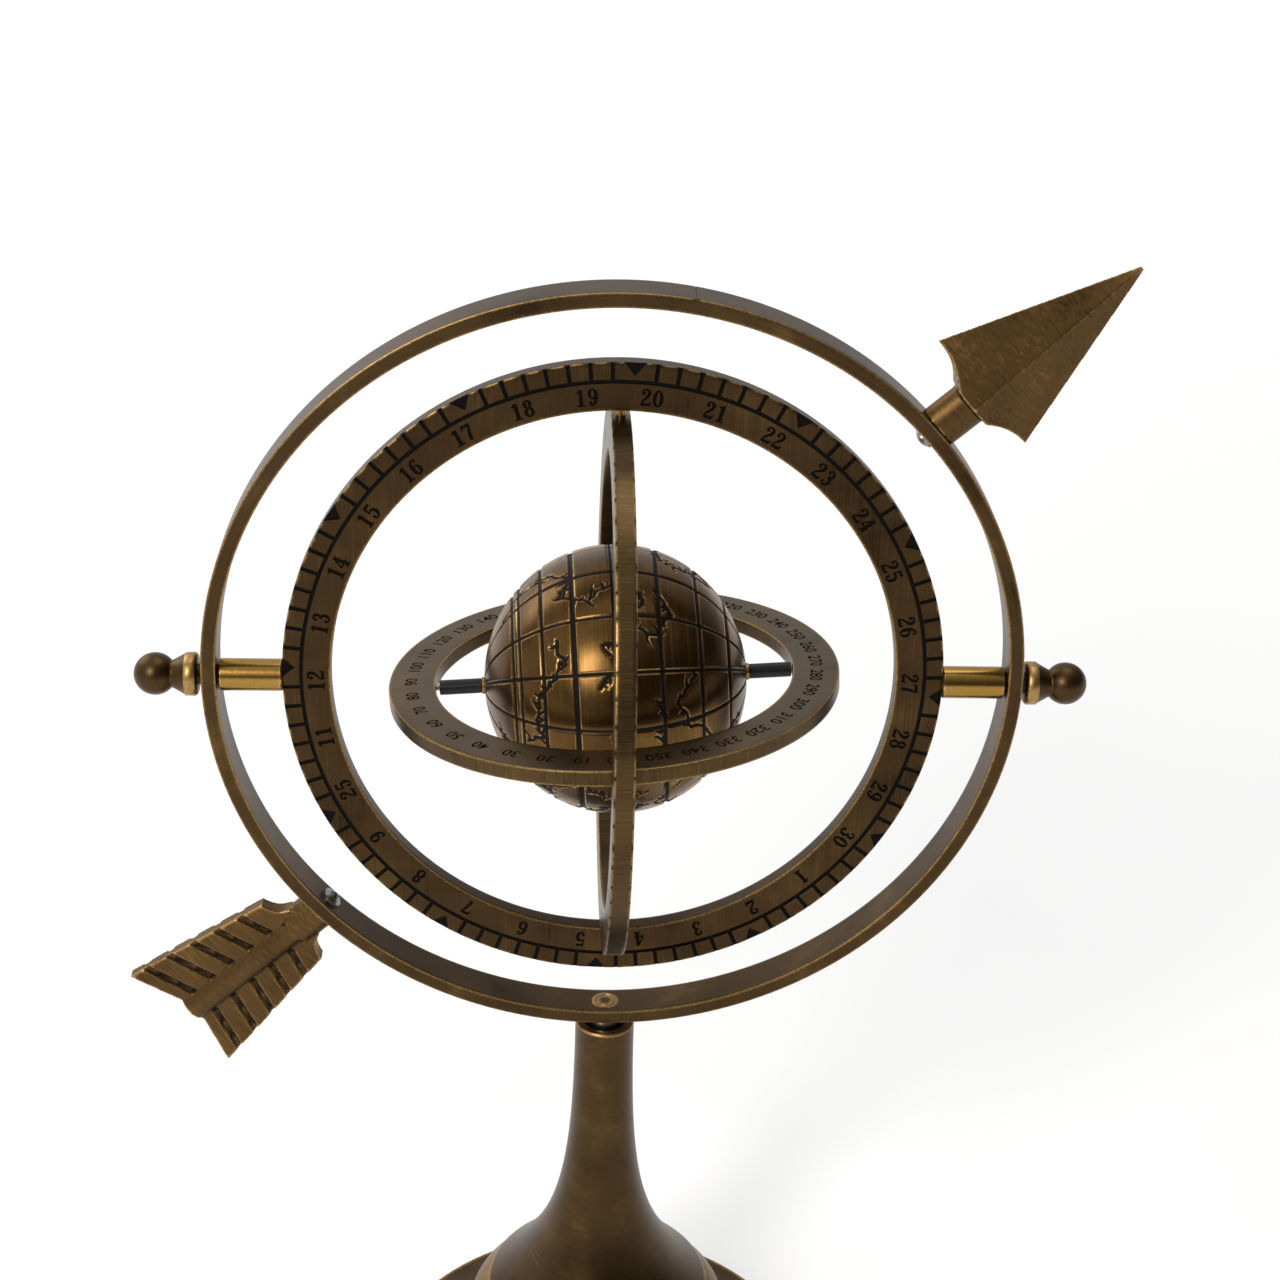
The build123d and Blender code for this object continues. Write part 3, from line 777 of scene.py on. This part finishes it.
# Polished before it was aged: redder gold where the light strikes, black in the cuts
globe_brass = antique_brass("antique_brass_globe", ROUND, "#281d13", "#5a4224", "#8c6b3a",
                            wear_and_highlight_colour="#bd9559", roughness=0.3, fineness=2.6, scratch=0.012)
# Sand cast and filed: soft grain with worn ridges
cast_brass = antique_brass("antique_brass_cast", (0, 1, 0), "#241a11", "#5a4428", "#876a3e",
                           roughness=0.42, fineness=1.6, scratch=0.02, mottle=0.6)
# Bare brass under clear lacquer: clean yellow with sharp highlights
bright_brass = antique_brass("bright_brass_turned", ROUND, "#6e5422", "#9a783a", "#c7a357",
                             wear_and_highlight_colour="#d9ba78", roughness=0.24, fineness=3.4, contrast=0.4,
                             scratch=0.004, mottle=0.5)
# Nickelled steel: cold grey beside the brass
steel = fine_surface("nickelled_steel", "#8d8a84", 0.32, 0.4, 0.008, metallic=1.0)
# Brass bared by the cutter, drawn lighter: partly its own bare colour, partly painted highlight on
# the lip
bright_cut_wall = fine_surface("bare_brass_cut_wall_with_highlight", "#96733f", 0.34, 0.3, 0.01, metallic=1.0)
small_brass = fine_surface("brass_bush", "#8f6f3a", 0.33, 0.4, 0.008, metallic=1.0)
# Filled with matt black paint that was wiped off the face
blackened = fine_surface("blackened_recess", "#0b0907", 0.8, 0.35, 0.02, tint=0.4, specular=0.12)
# Vinyl tube: black with a soft shine
sleeve_black = fine_surface("black_vinyl_tube", "#100e0c", 0.42, 0.5, 0.01, specular=0.3)
# Wool felt: dull, with a nap of about half a millimetre
felt_green = fine_surface("wool_felt", "#16241c", 0.92, 0.5, 0.15, tint=0.5)


# Rings

def make_outer_ring():
    """Fixed ring bent from flat bar; its butt joint shows as a hairline across the band."""
    radius, bar, width = OUTER_RING
    joint = bar_cutter(radius - SEAM_DEPTH, radius + 1, SEAM_WIDTH)
    joint.data.transform(Matrix.Diagonal((1, 1, width / ENGRAVING_DEPTH, 1)))
    ring = worked_ring("outer_ring_band", OUTER_RING, turned_brass,
                       [(joint, [at_angle(SEAM_ANGLE, 0, 0)])])
    fit(lay(ring, OUTER_PLACE), turned_brass, "stand", "antique_brass", "outer_ring")


def worked_ring(name, sizes, material, cuts):
    """Flat ring with corners marked for wear and painted highlight, engraved before it is laid in
    place.
    """
    ring = turned(name, ring_outline(*sizes), RING_STEPS, closed=True)
    rub_edges(ring)
    ring.data.materials.append(material)
    engrave(ring, cuts)
    keep_place(ring)
    soft_shade(ring)
    return ring


def make_meridian_ring():
    """Upright ring; both flat faces carry a scale of plain divisions and degrees."""
    radius, bar, width = MERIDIAN_RING
    face = width / 2
    over = Matrix.Rotation(math.pi, 4, "Y")
    middle = radius - bar / 2 - MERIDIAN_NUMBER_INSET
    scale = []
    for length, turns in MERIDIAN_TICKS:
        scale.append((bar_cutter(radius - length, radius + 1, MERIDIAN_TICK_WIDTH),
                      [at_angle(turn, 0, face) for turn in turns]))
    for degrees in range(0, 91, 30):
        turns = sorted({degrees, 180 - degrees, 180 + degrees, (360 - degrees) % 360})
        scale.append((plain_number(str(degrees), MERIDIAN_NUMBER_HEIGHT),
                      [at_angle(turn, middle, face, -90) for turn in turns]))
    cuts = [(cutter, places + [over @ place for place in places]) for cutter, places in scale]
    ring = worked_ring("meridian_ring_plate", MERIDIAN_RING, rim_brass, cuts)
    fit(lay(ring, MERIDIAN_PLACE), rim_brass, "meridian", "antique_brass", "meridian_ring")


def make_zodiac_ring():
    """Level ring; its top face is numbered every ten degrees."""
    radius, bar, width = ZODIAC_RING
    cuts = [(plain_number(str((270 - turn) % 360 or 360), ZODIAC_NUMBER_HEIGHT),
             [at_angle(turn, radius - bar / 2, width / 2, -90)]) for turn in range(0, 360, 10)]
    ring = worked_ring("zodiac_ring_plate", ZODIAC_RING, rim_brass, cuts)
    fit(lay(ring, ZODIAC_PLACE), rim_brass, "zodiac", "antique_brass", "zodiac_ring")


def make_dial_ring():
    """Dial: groove, divisions, triangles and thirty serif numerals on its front face."""
    radius, bar, width = DIAL_RING
    face = width / 2
    past = 1.0
    grow = (HOUR_MARK_HEIGHT + past) / HOUR_MARK_HEIGHT
    divisions = HOUR_MARKS * (TICKS_BETWEEN + 1)
    turns = [HOUR_MARK_PHASE + index * 360 / divisions for index in range(divisions)]
    marks = turns[::TICKS_BETWEEN + 1]
    cuts = [
        (groove_cutter(GROOVE_RADIUS - GROOVE_WIDTH / 2, GROOVE_RADIUS + GROOVE_WIDTH / 2),
         [at_angle(0, 0, face)]),
        (bar_cutter(GROOVE_RADIUS, radius + past, TICK_WIDTH),
         [at_angle(turn, 0, face) for turn in turns if turn not in marks]),
        (wedge_cutter(radius - HOUR_MARK_HEIGHT, radius + past, HOUR_MARK_HALF_WIDTH * grow),
         [at_angle(turn, 0, face) for turn in marks]),
    ]
    tip = graver_tip()
    for index, number in enumerate(DIAL_NUMBERS):
        turn = DIAL_NUMBER_START - index * 360 / len(DIAL_NUMBERS)
        cuts.append((serif_number(str(number), DIAL_NUMBER_HEIGHT, tip),
                     [at_angle(turn, DIAL_NUMBER_RADIUS, face, -90)]))
    bpy.data.objects.remove(tip)
    ring = worked_ring("dial_ring_plate", DIAL_RING, sanded_brass, cuts)
    fit(lay(ring, DIAL_PLACE), sanded_brass, "dial", "antique_brass", "dial_ring")


# Stand

def make_stem():
    e = EDGE_ROUND
    well = STEM_TOP_RADIUS - STEM_WALL
    lip = COLLAR_TOP + STEM_GROOVE_HEIGHT
    root = STEM_SKIRT_RADIUS - STEM_GROOVE_DEPTH
    skirt_top = lip + STEM_LIP_HEIGHT
    handle = (STEM_SKIRT_RADIUS - TRUMPET_REACH * math.sin(TRUMPET_LEAN),
              skirt_top + TRUMPET_REACH * math.cos(TRUMPET_LEAN))
    flare = bezier((STEM_TOP_RADIUS, STEM_TOP), (STEM_TOP_RADIUS, STEM_TOP - TRUMPET_STRAIGHT),
                   handle, (STEM_SKIRT_RADIUS, skirt_top), STEM_CURVE_STEPS)
    outline = [(well, STEM_TOP - STEM_WELL_DEPTH), (well, STEM_TOP - e), (well + e, STEM_TOP),
               (STEM_TOP_RADIUS - e, STEM_TOP), (STEM_TOP_RADIUS, STEM_TOP - e),
               (STEM_TOP_RADIUS, STEM_TOP - 3 * e)]
    outline += [point for point in flare if point[1] < STEM_TOP - 4 * e]
    outline += [(STEM_SKIRT_RADIUS, lip + e), (STEM_SKIRT_RADIUS - e, lip), (root, lip),
                (root, COLLAR_TOP)]
    stem = turned("stem_trumpet", outline, STAND_STEPS)
    work_over(stem)
    fit(stem, turned_brass, "stand", "antique_brass", "stem")


def make_collar():
    e = EDGE_ROUND
    shoulder = COLLAR_TOP - COLLAR_SLOPE_HEIGHT
    outline = [(COLLAR_BORE_RADIUS, FOOT_TOP), (COLLAR_RADIUS - e, FOOT_TOP),
               (COLLAR_RADIUS, FOOT_TOP + e), (COLLAR_RADIUS, shoulder - e),
               (COLLAR_RADIUS - 0.7 * e, shoulder + 0.7 * e),
               (STEM_SKIRT_RADIUS + e, COLLAR_TOP - 0.3 * e), (STEM_SKIRT_RADIUS, COLLAR_TOP),
               (COLLAR_BORE_RADIUS, COLLAR_TOP)]
    collar = turned("collar_ring", outline, STAND_STEPS, closed=True)
    work_over(collar)
    fit(collar, turned_brass, "stand", "antique_brass", "collar")


def make_foot():
    edge_top = FELT_TOP + FOOT_EDGE_HEIGHT
    band = FOOT_TOP - FOOT_TOP_BAND
    curve_end = FOOT_RADIUS - FOOT_EDGE_CHAMFER
    e = EDGE_ROUND
    outline = [(FOOT_BORE_RADIUS, FOOT_TOP), (COLLAR_RADIUS - 2 * e, FOOT_TOP),
               (COLLAR_RADIUS, FOOT_TOP - 2 * e), (COLLAR_RADIUS, band)]
    outline += bezier((COLLAR_RADIUS, band), (COLLAR_RADIUS, band - FOOT_CURVE_DROP),
                      (curve_end - FOOT_CURVE_REACH, edge_top + FOOT_CURVE_RISE),
                      (curve_end, edge_top), FOOT_CURVE_STEPS)
    outline += [(FOOT_RADIUS, edge_top - FOOT_EDGE_CHAMFER), (FOOT_RADIUS, FELT_TOP + e),
                (FOOT_RADIUS - e, FELT_TOP), (FOOT_BORE_RADIUS, FELT_TOP)]
    foot = turned("foot_bell", outline, STAND_STEPS, closed=True)
    work_over(foot)
    fit(foot, turned_brass, "stand", "antique_brass", "foot")


# Studs

def make_finial(side, matrix):
    e = FINIAL_EDGE
    cone_edge = FINIAL_CONE_EDGE
    face = OUTER_RING[0] + FINIAL_GAP
    cone_foot = face + FINIAL_BARREL
    neck = cone_foot + FINIAL_CONE
    rise = math.sqrt(FINIAL_BALL_RADIUS**2 - FINIAL_NECK_RADIUS**2)
    ball = neck + rise
    start = -math.degrees(math.asin(rise / FINIAL_BALL_RADIUS))
    outline = [(STUD_RADIUS, DIAL_RING[0]), (STUD_RADIUS, face), (FINIAL_RADIUS - e, face),
               (FINIAL_RADIUS, face + e), (FINIAL_RADIUS, cone_foot - cone_edge),
               (FINIAL_RADIUS - cone_edge, cone_foot),
               (FINIAL_NECK_RADIUS + cone_edge / 2, neck - cone_edge / 2)]
    outline += arc((0, ball), FINIAL_BALL_RADIUS, start + FINIAL_BALL_START,
                   FINIAL_BALL_END, FINIAL_BALL_STEPS)
    finial = turned(f"finial_{side}_knob", outline, SMALL_STEPS)
    work_over(finial, 20, 50)
    fit(lay(finial, matrix), turned_brass, "dial", "antique_brass", f"finial_{side}")


def make_spacer_tube(side, matrix):
    e = TUBE_EDGE
    start = DIAL_RING[0] + DIAL_RIM_GAP
    bore = OUTER_RING[0] - OUTER_RING[1]
    end = math.sqrt(bore**2 - TUBE_RADIUS**2) - TUBE_RING_GAP
    outline = [(TUBE_BORE, start + e), (TUBE_BORE + e, start), (TUBE_RADIUS - e, start),
               (TUBE_RADIUS, start + e), (TUBE_RADIUS, start + 2 * e), (TUBE_RADIUS, end - 2 * e),
               (TUBE_RADIUS, end - e), (TUBE_RADIUS - e, end), (TUBE_BORE + e, end),
               (TUBE_BORE, end - e)]
    tube = turned(f"spacer_tube_{side}_sleeve", outline, SMALL_STEPS, closed=True)
    work_over(tube)
    fit(lay(tube, matrix), bright_brass, "dial", "bright_brass", f"spacer_tube_{side}")


def make_axle_sleeve(side, matrix):
    e = SLEEVE_EDGE
    outline = [(SLEEVE_BORE, SLEEVE_START), (SLEEVE_RADIUS - e, SLEEVE_START),
               (SLEEVE_RADIUS, SLEEVE_START + e), (SLEEVE_RADIUS, SLEEVE_END - e),
               (SLEEVE_RADIUS - e, SLEEVE_END), (SLEEVE_BORE, SLEEVE_END)]
    sleeve = turned(f"axle_sleeve_{side}_tube", outline, TINY_STEPS, closed=True)
    soft_shade(sleeve)
    fit(lay(sleeve, matrix), sleeve_black, "globe", "black_sleeve", f"axle_sleeve_{side}")


# Globe

# Coasts of a made-up map, as (height along the axle in mm, angle about it in degrees)
COASTS = [
    "-24 78, -21 66, -22 56, -19 47, -17 38, -12 30, -9 27, -8 33, -3 34, 1 39, 6 33",
    "-20 92, -18 80, -19 68, -16 60, -17 50, -18 44",
    "-8 98, -4 88, -5 80, 1 74, -3 66, -9 61, -11 56",
    "-13 57, -7 55, -5 48, 0 46, 2 52, 6 47",
    "-17 19, -12 18, -8 12, -3 11, 1 16, 0 4, 3 -4",
    "-22 10, -18 4, -19 -8, -17 -20, -12 -31, -14 -43",
    "8 66, 12 56, 8 46, 13 37, 16 27, 12 20, 9 12, 11 0, 9 -14",
    "9 26, 14 31, 19 24, 22 12, 17 2, 14 -12, 19 -24",
    "22 60, 25 48, 21 39, 26 30, 29 20",
    "-4 -20, 1 -28, -3 -38, 4 -46, 10 -42, 14 -52, 10 -64",
    "-20 130, -13 122, -15 110, -6 108, -1 118, 5 112, 9 124, 4 134, -5 138, -12 132, -20 130",
    "12 96, 17 104, 23 99, 26 112, 20 124, 22 136, 14 142, 10 128",
    "-26 170, -19 162, -12 170, -14 184, -4 190, -7 204, -18 206, -24 192, -26 170",
    "2 160, 9 168, 17 162, 23 174, 18 188, 24 202, 15 214, 6 206, 8 190, 1 178, 2 160",
    "-21 232, -12 226, -5 234, 3 228, 7 240, -2 250, -10 246, -16 254, -24 246",
    "12 238, 19 232, 26 244, 20 256, 24 268, 15 274, 11 262, 12 238",
    "-27 282, -19 276, -11 284, -14 296, -6 302, 1 294, 7 304, 2 314",
    "-28 40, -27 26, -29 12",
    "29 60, 28 40, 30 24",
]
COAST_STEP = 0.15
COAST_HALF_WIDTH = 0.34
COAST_SPREAD = 0.1
COAST_RAGGED = 0.2
COAST_HALVINGS = 3
TWIG_CHANCE = 0.42
TWIG_LENGTH = (1.4, 3.4)
TWIG_LEAN = (-0.4, 0.9)
TWIG_BEND = (-0.8, 0.8)
TWIG_ELBOW = 0.55
TWIG_TIP = 0.4
TWIG_ELBOW_WIDTH = 0.85
TWIG_TIP_HALF_WIDTH = 0.12


def ball_point(along, angle):
    """Point of the globe at a height along its axle and an angle about it, from the front."""
    share = max(-0.995, min(0.995, along / GLOBE_HALF_LENGTH))
    reach = GLOBE_RADIUS * math.sqrt(1 - share * share)
    turn = math.radians(angle)
    return Vector((reach * math.sin(turn), -reach * math.cos(turn), along))


def ragged(shore, hand):
    """The same line with its segments broken again and again, each break thrown to one side."""
    for _ in range(COAST_HALVINGS):
        broken = [shore[0]]
        for start, end in zip(shore, shore[1:]):
            across = (end - start).cross(start)
            throw = hand.uniform(-COAST_RAGGED, COAST_RAGGED) * (end - start).length
            broken += [(start + end) / 2 + across.normalized() * throw, end]
        shore = broken
    return shore


def coast_lines():
    """Every coast and its twigs, as lines of points with the half width of the cut at each."""
    hand = random.Random(7)
    lines = []
    for coast in COASTS:
        shore = ragged([ball_point(*corner) for corner in corners(coast)], hand)
        lines.append([(corner, COAST_HALF_WIDTH + hand.uniform(-COAST_SPREAD, COAST_SPREAD))
                      for corner in shore])
        for start, end in zip(shore, shore[1:]):
            if hand.random() < TWIG_CHANCE:
                side = hand.choice((-1, 1))
                run = (end - start).normalized()
                lean = (run.cross(start).normalized() * side + run * hand.uniform(*TWIG_LEAN))
                length = hand.uniform(*TWIG_LENGTH)
                elbow = start + lean.normalized() * length * TWIG_ELBOW
                onward = lean.normalized() + run * hand.uniform(*TWIG_BEND)
                tip = elbow + onward * length * TWIG_TIP
                lines.append([(start, COAST_HALF_WIDTH),
                              (elbow, COAST_HALF_WIDTH * TWIG_ELBOW_WIDTH),
                              (tip, TWIG_TIP_HALF_WIDTH)])
    return lines


def coast_points():
    """Points close together along every line, laid back onto the ball."""
    points = []
    for cut in coast_lines():
        for (start, first), (end, last) in zip(cut, cut[1:]):
            count = max(1, int((end - start).length / COAST_STEP))
            for index in range(count):
                share = index / count
                place = start.lerp(end, share)
                squash = math.sqrt((place.x**2 + place.y**2) / GLOBE_RADIUS**2
                                   + (place.z / GLOBE_HALF_LENGTH) ** 2)
                points.append((place / squash, first + (last - first) * share))
    return points


def coast_distance(places):
    """Distance in millimetres of each point of the globe from the nearest coast's edge."""
    points = coast_points()
    tree = kdtree.KDTree(len(points))
    for index, (place, _) in enumerate(points):
        tree.insert(place, index)
    tree.balance()
    distances = np.ones(len(places))
    for index, place in enumerate(places):
        _, nearest, gap = tree.find(place)
        distances[index] = gap - points[nearest][1]
    return distances


LATITUDE_CUTS = {-24.6: 0.30, -22.9: 0.28, -17.4: 0.38, -9.8: 0.55, 0.0: 0.32, 10.8: 0.42,
                 20.3: 0.36, 27.4: 0.30}
MERIDIAN_CUT_STEP = 24.0
MERIDIAN_CUT_PHASE = 22.0
CUT_HALF_WIDTH = 0.36
CUT_DEPTH = 0.38
CUT_SLOPE = 0.12
CUT_DARK_REACH = 0.5
CUT_LIP_HIGHLIGHT_BAND = 0.22
GLOBE_POLE_ANGLE = 89.4
GLOBE_LOOPS = 150
GLOBE_STEPS = 520


def groove_distance(places):
    """Distance in millimetres from the nearest grid line, less that line's half width."""
    x, y, z = places.T
    nearest = np.min([np.abs(z - level) - half for level, half in LATITUDE_CUTS.items()], axis=0)
    reach = np.hypot(x, y)
    angle = np.degrees(np.arctan2(x, -y))
    turn = (angle - MERIDIAN_CUT_PHASE + MERIDIAN_CUT_STEP / 2) % MERIDIAN_CUT_STEP
    sweep = np.radians(np.abs(turn - MERIDIAN_CUT_STEP / 2)) * reach
    return np.minimum(nearest, sweep - CUT_HALF_WIDTH)


def make_globe_half(side, sign):
    """Half of the turned ball: grid and coasts are cut into it, and its seam face is closed."""
    quarter = [(GLOBE_RADIUS * math.cos(a), sign * GLOBE_HALF_LENGTH * math.sin(a))
               for a in (math.radians(i * GLOBE_POLE_ANGLE / GLOBE_LOOPS)
                         for i in range(GLOBE_LOOPS + 1))]
    half = turned(f"globe_{side}_shell", quarter, GLOBE_STEPS)
    keep_place(half)
    places = points_of(half)
    distance = np.minimum(groove_distance(places), coast_distance(places))
    # Near each cut the colour is painted dark
    mark_points(half, "hollow_dark", np.clip(CUT_DARK_REACH - distance, 0, 1))
    # Painted highlight, partly worn lip: a band along each cut's edge is painted bright
    lip = np.abs(distance - CUT_LIP_HIGHLIGHT_BAND)
    mark_points(half, "wear_and_highlight", np.clip(1 - lip / CUT_LIP_HIGHLIGHT_BAND, 0, 1))
    depth = 1 - np.clip((distance + CUT_SLOPE) / (2 * CUT_SLOPE), 0, 1)
    inward = places / np.linalg.norm(places, axis=1)[:, None]
    sunk = (places - inward * (CUT_DEPTH * depth)[:, None]) * MM
    half.data.vertices.foreach_set("co", sunk.ravel())
    soft_shade(half, 60)
    fit(lay(half, globe_place(1)), globe_brass, "globe", "globe_brass", f"globe_{side}")


# Arrow: worked over from the cast blanks, which are rounded and filed

def make_cast_piece(node, voxel=0.34):
    piece = copy_of(frame["nodes"][node])
    piece.name = f"{node}_casting"
    piece.hide_render = False
    choose(piece)
    bpy.ops.object.mode_set(mode="EDIT")
    leave_edit(0.000001)
    apply_modifier(piece, "REMESH", mode="VOXEL", voxel_size=voxel * MM)
    apply_modifier(piece, "SMOOTH", factor=0.5, iterations=2)
    for key in list(piece.keys()):
        del piece[key]
    piece.data.materials.clear()
    piece.data.transform(ARROW_PLACE.inverted())
    weather(piece)
    keep_place(piece)
    soft_shade(piece, 40)
    fit(lay(piece, ARROW_PLACE), cast_brass, "stand", "cast_brass", node)


# Fasteners

def pointing(direction):
    """Matrix that stands a turned piece along a direction in the outer ring's plane."""
    return place_on(BACK, direction.cross(BACK))


def make_arrow_screws():
    """Round-headed screws with a cross recess, one through the ring into each casting."""
    seat = math.sqrt((OUTER_RING[0] - OUTER_RING[1]) ** 2 - PAN_HEAD_RADIUS**2)
    top = seat - PAN_HEAD_HEIGHT
    dome = arc((0, top + PAN_DOME_RADIUS), PAN_DOME_RADIUS, *PAN_DOME_TURNS, PAN_DOME_STEPS)
    outline = [(PAN_SHANK_RADIUS, OUTER_RING[0] + PAN_SHANK_DEPTH), (PAN_SHANK_RADIUS, seat),
               (PAN_HEAD_RADIUS, seat), (PAN_HEAD_RADIUS, seat - PAN_EDGE_HEIGHT)]
    outline += [point for point in dome if point[0] < PAN_HEAD_RADIUS - 0.05]
    screws = []
    for turn in (0, math.pi):
        screw = turned("arrow_screw", outline, TINY_STEPS)
        for width, length in ((CROSS_WIDTH, CROSS_LENGTH), (CROSS_LENGTH, CROSS_WIDTH)):
            cut_away(screw, box_cutter(0, top, (width, length, 2 * CROSS_DEPTH)))
        lay(screw, pointing(upright_way(ARROW_LEAN + turn)))
        screws.append(screw)
    pair = join(screws)
    soft_shade(pair, 30)
    fit(pair, steel, "stand", "steel", "arrow_screws")


def make_ring_rivet():
    """Flush rivet head inside the foot of the outer ring, ringed by a fine scribed circle."""
    seat = math.sqrt((OUTER_RING[0] - OUTER_RING[1]) ** 2 - RIVET_HEAD_RADIUS**2)
    outline = [(RIVET_RADIUS, OUTER_RING[0] + RIVET_DEPTH), (RIVET_RADIUS, seat + RIVET_SINK),
               (RIVET_HEAD_RADIUS, seat)]
    outline += [(RIVET_HEAD_RADIUS - inset, seat + height) for inset, height in RIVET_FACE]
    rivet = turned("ring_rivet_head", outline, SMALL_STEPS)
    work_over(rivet, 20, 30)
    fit(lay(rivet, pointing(-UP)), turned_brass, "stand", "antique_brass", "ring_rivet")


def surface_fasteners():
    """The small CAD pieces keep their own shape and only take their surface."""
    for names, material in (
        (("tie_rod", "rod_washer", "rod_nut", "pivot_screw_front", "pivot_screw_back",
          "globe_axle"), steel),
        (("pole_pin_top", "pole_pin_bottom", "ferrule_left", "ferrule_right"), small_brass),
        (("felt_pad",), felt_green),
    ):
        for name in names:
            materials = frame["nodes"][name].data.materials
            materials.clear()
            materials.append(material)


make_outer_ring()
make_dial_ring()
make_meridian_ring()
make_zodiac_ring()
make_stem()
make_collar()
make_foot()
for side_name, direction in (("right", 1), ("left", -1)):
    stud_place = place_on(-direction * MERIDIAN_AXIS, DIAL_AXIS.cross(MERIDIAN_AXIS) * -1)
    make_finial(side_name, stud_place)
    make_spacer_tube(side_name, stud_place)
    make_axle_sleeve(side_name, globe_place(direction))
    make_globe_half(side_name, direction)
make_cast_piece("arrow_head")
make_cast_piece("arrow_tail")
make_arrow_screws()
make_ring_rivet()
surface_fasteners()


# Floor, light and camera

FLOOR_SIZE = 80
# Glow of the floor, and the distance from the foot at which it starts and stops to grow
FLOOR_GLOW_NEAR = 0.19
FLOOR_GLOW_FAR = 0.56
FLOOR_NEAR = 0.45
FLOOR_FAR = 2.2
# Lamps: name, place, width and height, watts and colour
LAMPS = (
    ("key_front_left", (-0.55, -0.9, 0.95), (0.25, 0.5), 8, (1, 0.96, 0.9)),
    ("soft_back_left", (-1.1, 0.8, 1.1), (0.9, 0.9), 7, (1, 1, 1)),
    ("soft_top", (0.2, 0.3, 1.6), (0.8, 0.8), 4, (1, 1, 1)),
)
ROOM_BRIGHT_WAY = Vector((-0.62, 0.52, 0.59))
ROOM_DIM = 0.06
ROOM_BRIGHT = 0.95
CAMERA_PLACE = (-0.017753, -0.497618, 0.503906)
# Yaw to the right, pitch down and roll, in degrees
CAMERA_TURNS = (2.746, 26.841, 1.911)
SENSOR_WIDTH = 36
FOCAL_PIXELS = 2259.926
FRAME_PIXELS = 1280


def make_floor():
    """Pale sweep. It looks white to the camera and in reflections, and keeps the shadow.

    It glows a little more far off, where the lamps reach it less, so that it stays even.
    """
    deselect()
    bpy.ops.mesh.primitive_plane_add(size=FLOOR_SIZE)
    floor = bpy.context.object
    floor.name = "floor"
    material = new_material("pale_studio_floor")
    path = add_node(material, "LightPath", {})
    seen = path.outputs["Is Camera Ray"]
    for ray in ("Is Glossy Ray", "Is Transmission Ray"):
        seen = add_node(material, "Math", {0: seen, 1: path.outputs[ray]}, operation="MAXIMUM")
    place = add_node(material, "TexCoord", {}).outputs["Object"]
    away = add_node(material, "VectorMath", {0: place}, operation="LENGTH")
    level = add_node(material, "MapRange",
                     {0: away.outputs["Value"], 1: FLOOR_NEAR, 2: FLOOR_FAR,
                      3: FLOOR_GLOW_NEAR, 4: FLOOR_GLOW_FAR})
    glow = add_node(material, "Math", {0: seen, 1: level}, operation="MULTIPLY")
    matt = add_node(material, "BsdfDiffuse", {"Color": linear("#e7e7e7")})
    light = add_node(material, "Emission", {"Strength": glow})
    both = add_node(material, "AddShader", {0: matt, 1: light})
    add_node(material, "OutputMaterial", {"Surface": both})
    floor.data.materials.append(material)


def area_lamp(name, location, size, power, colour):
    """Lamp that faces the sphere's centre."""
    light = bpy.data.lights.new(name, "AREA")
    light.shape = "RECTANGLE"
    light.size, light.size_y = size
    light.energy = power
    light.color = colour
    lamp = linked(bpy.data.objects.new(name, light))
    lamp.location = location
    lamp.rotation_euler = (CENTRE - Vector(location)).to_track_quat("-Z", "Y").to_euler()


def make_world():
    """Soft room: bright above and behind on the left, dim in front on the right."""
    world = bpy.data.worlds.new("studio")
    scene.world = world
    world.use_nodes = True
    way = add_node(world, "TexCoord", {}).outputs["Generated"]
    facing = add_node(world, "VectorMath", {0: way, 1: ROOM_BRIGHT_WAY.normalized()},
                      operation="DOT_PRODUCT").outputs["Value"]
    level = add_node(world, "MapRange", {0: facing, 1: -0.5, 2: 1.0, 3: ROOM_DIM, 4: ROOM_BRIGHT},
                     interpolation_type="SMOOTHSTEP")
    path = add_node(world, "LightPath", {})
    strength = add_node(world, "Mix", {0: path.outputs["Is Camera Ray"], 2: level, 3: 1.0},
                        data_type="FLOAT")
    back = world.node_tree.nodes["Background"]
    back.inputs["Color"].default_value = (1, 1, 1, 1)
    world.node_tree.links.new(strength.outputs[0], back.inputs["Strength"])


def make_camera():
    yaw, pitch, roll = (math.radians(a) for a in CAMERA_TURNS)
    forward = Vector((math.sin(yaw) * math.cos(pitch), math.cos(yaw) * math.cos(pitch),
                      -math.sin(pitch)))
    side = Vector((math.cos(yaw), -math.sin(yaw), 0))
    above = side.cross(forward)
    right = side * math.cos(roll) + above * math.sin(roll)
    top = above * math.cos(roll) - side * math.sin(roll)
    data = bpy.data.cameras.new("camera")
    data.sensor_width = SENSOR_WIDTH
    data.lens = SENSOR_WIDTH * FOCAL_PIXELS / FRAME_PIXELS
    camera = linked(bpy.data.objects.new("camera", data))
    turn = Matrix((right, top, -forward)).transposed().to_4x4()
    camera.matrix_world = Matrix.Translation(CAMERA_PLACE) @ turn
    scene.camera = camera


make_floor()
make_world()
for lamp_sizes in LAMPS:
    area_lamp(*lamp_sizes)
make_camera()
scene.view_settings.view_transform = "Standard"
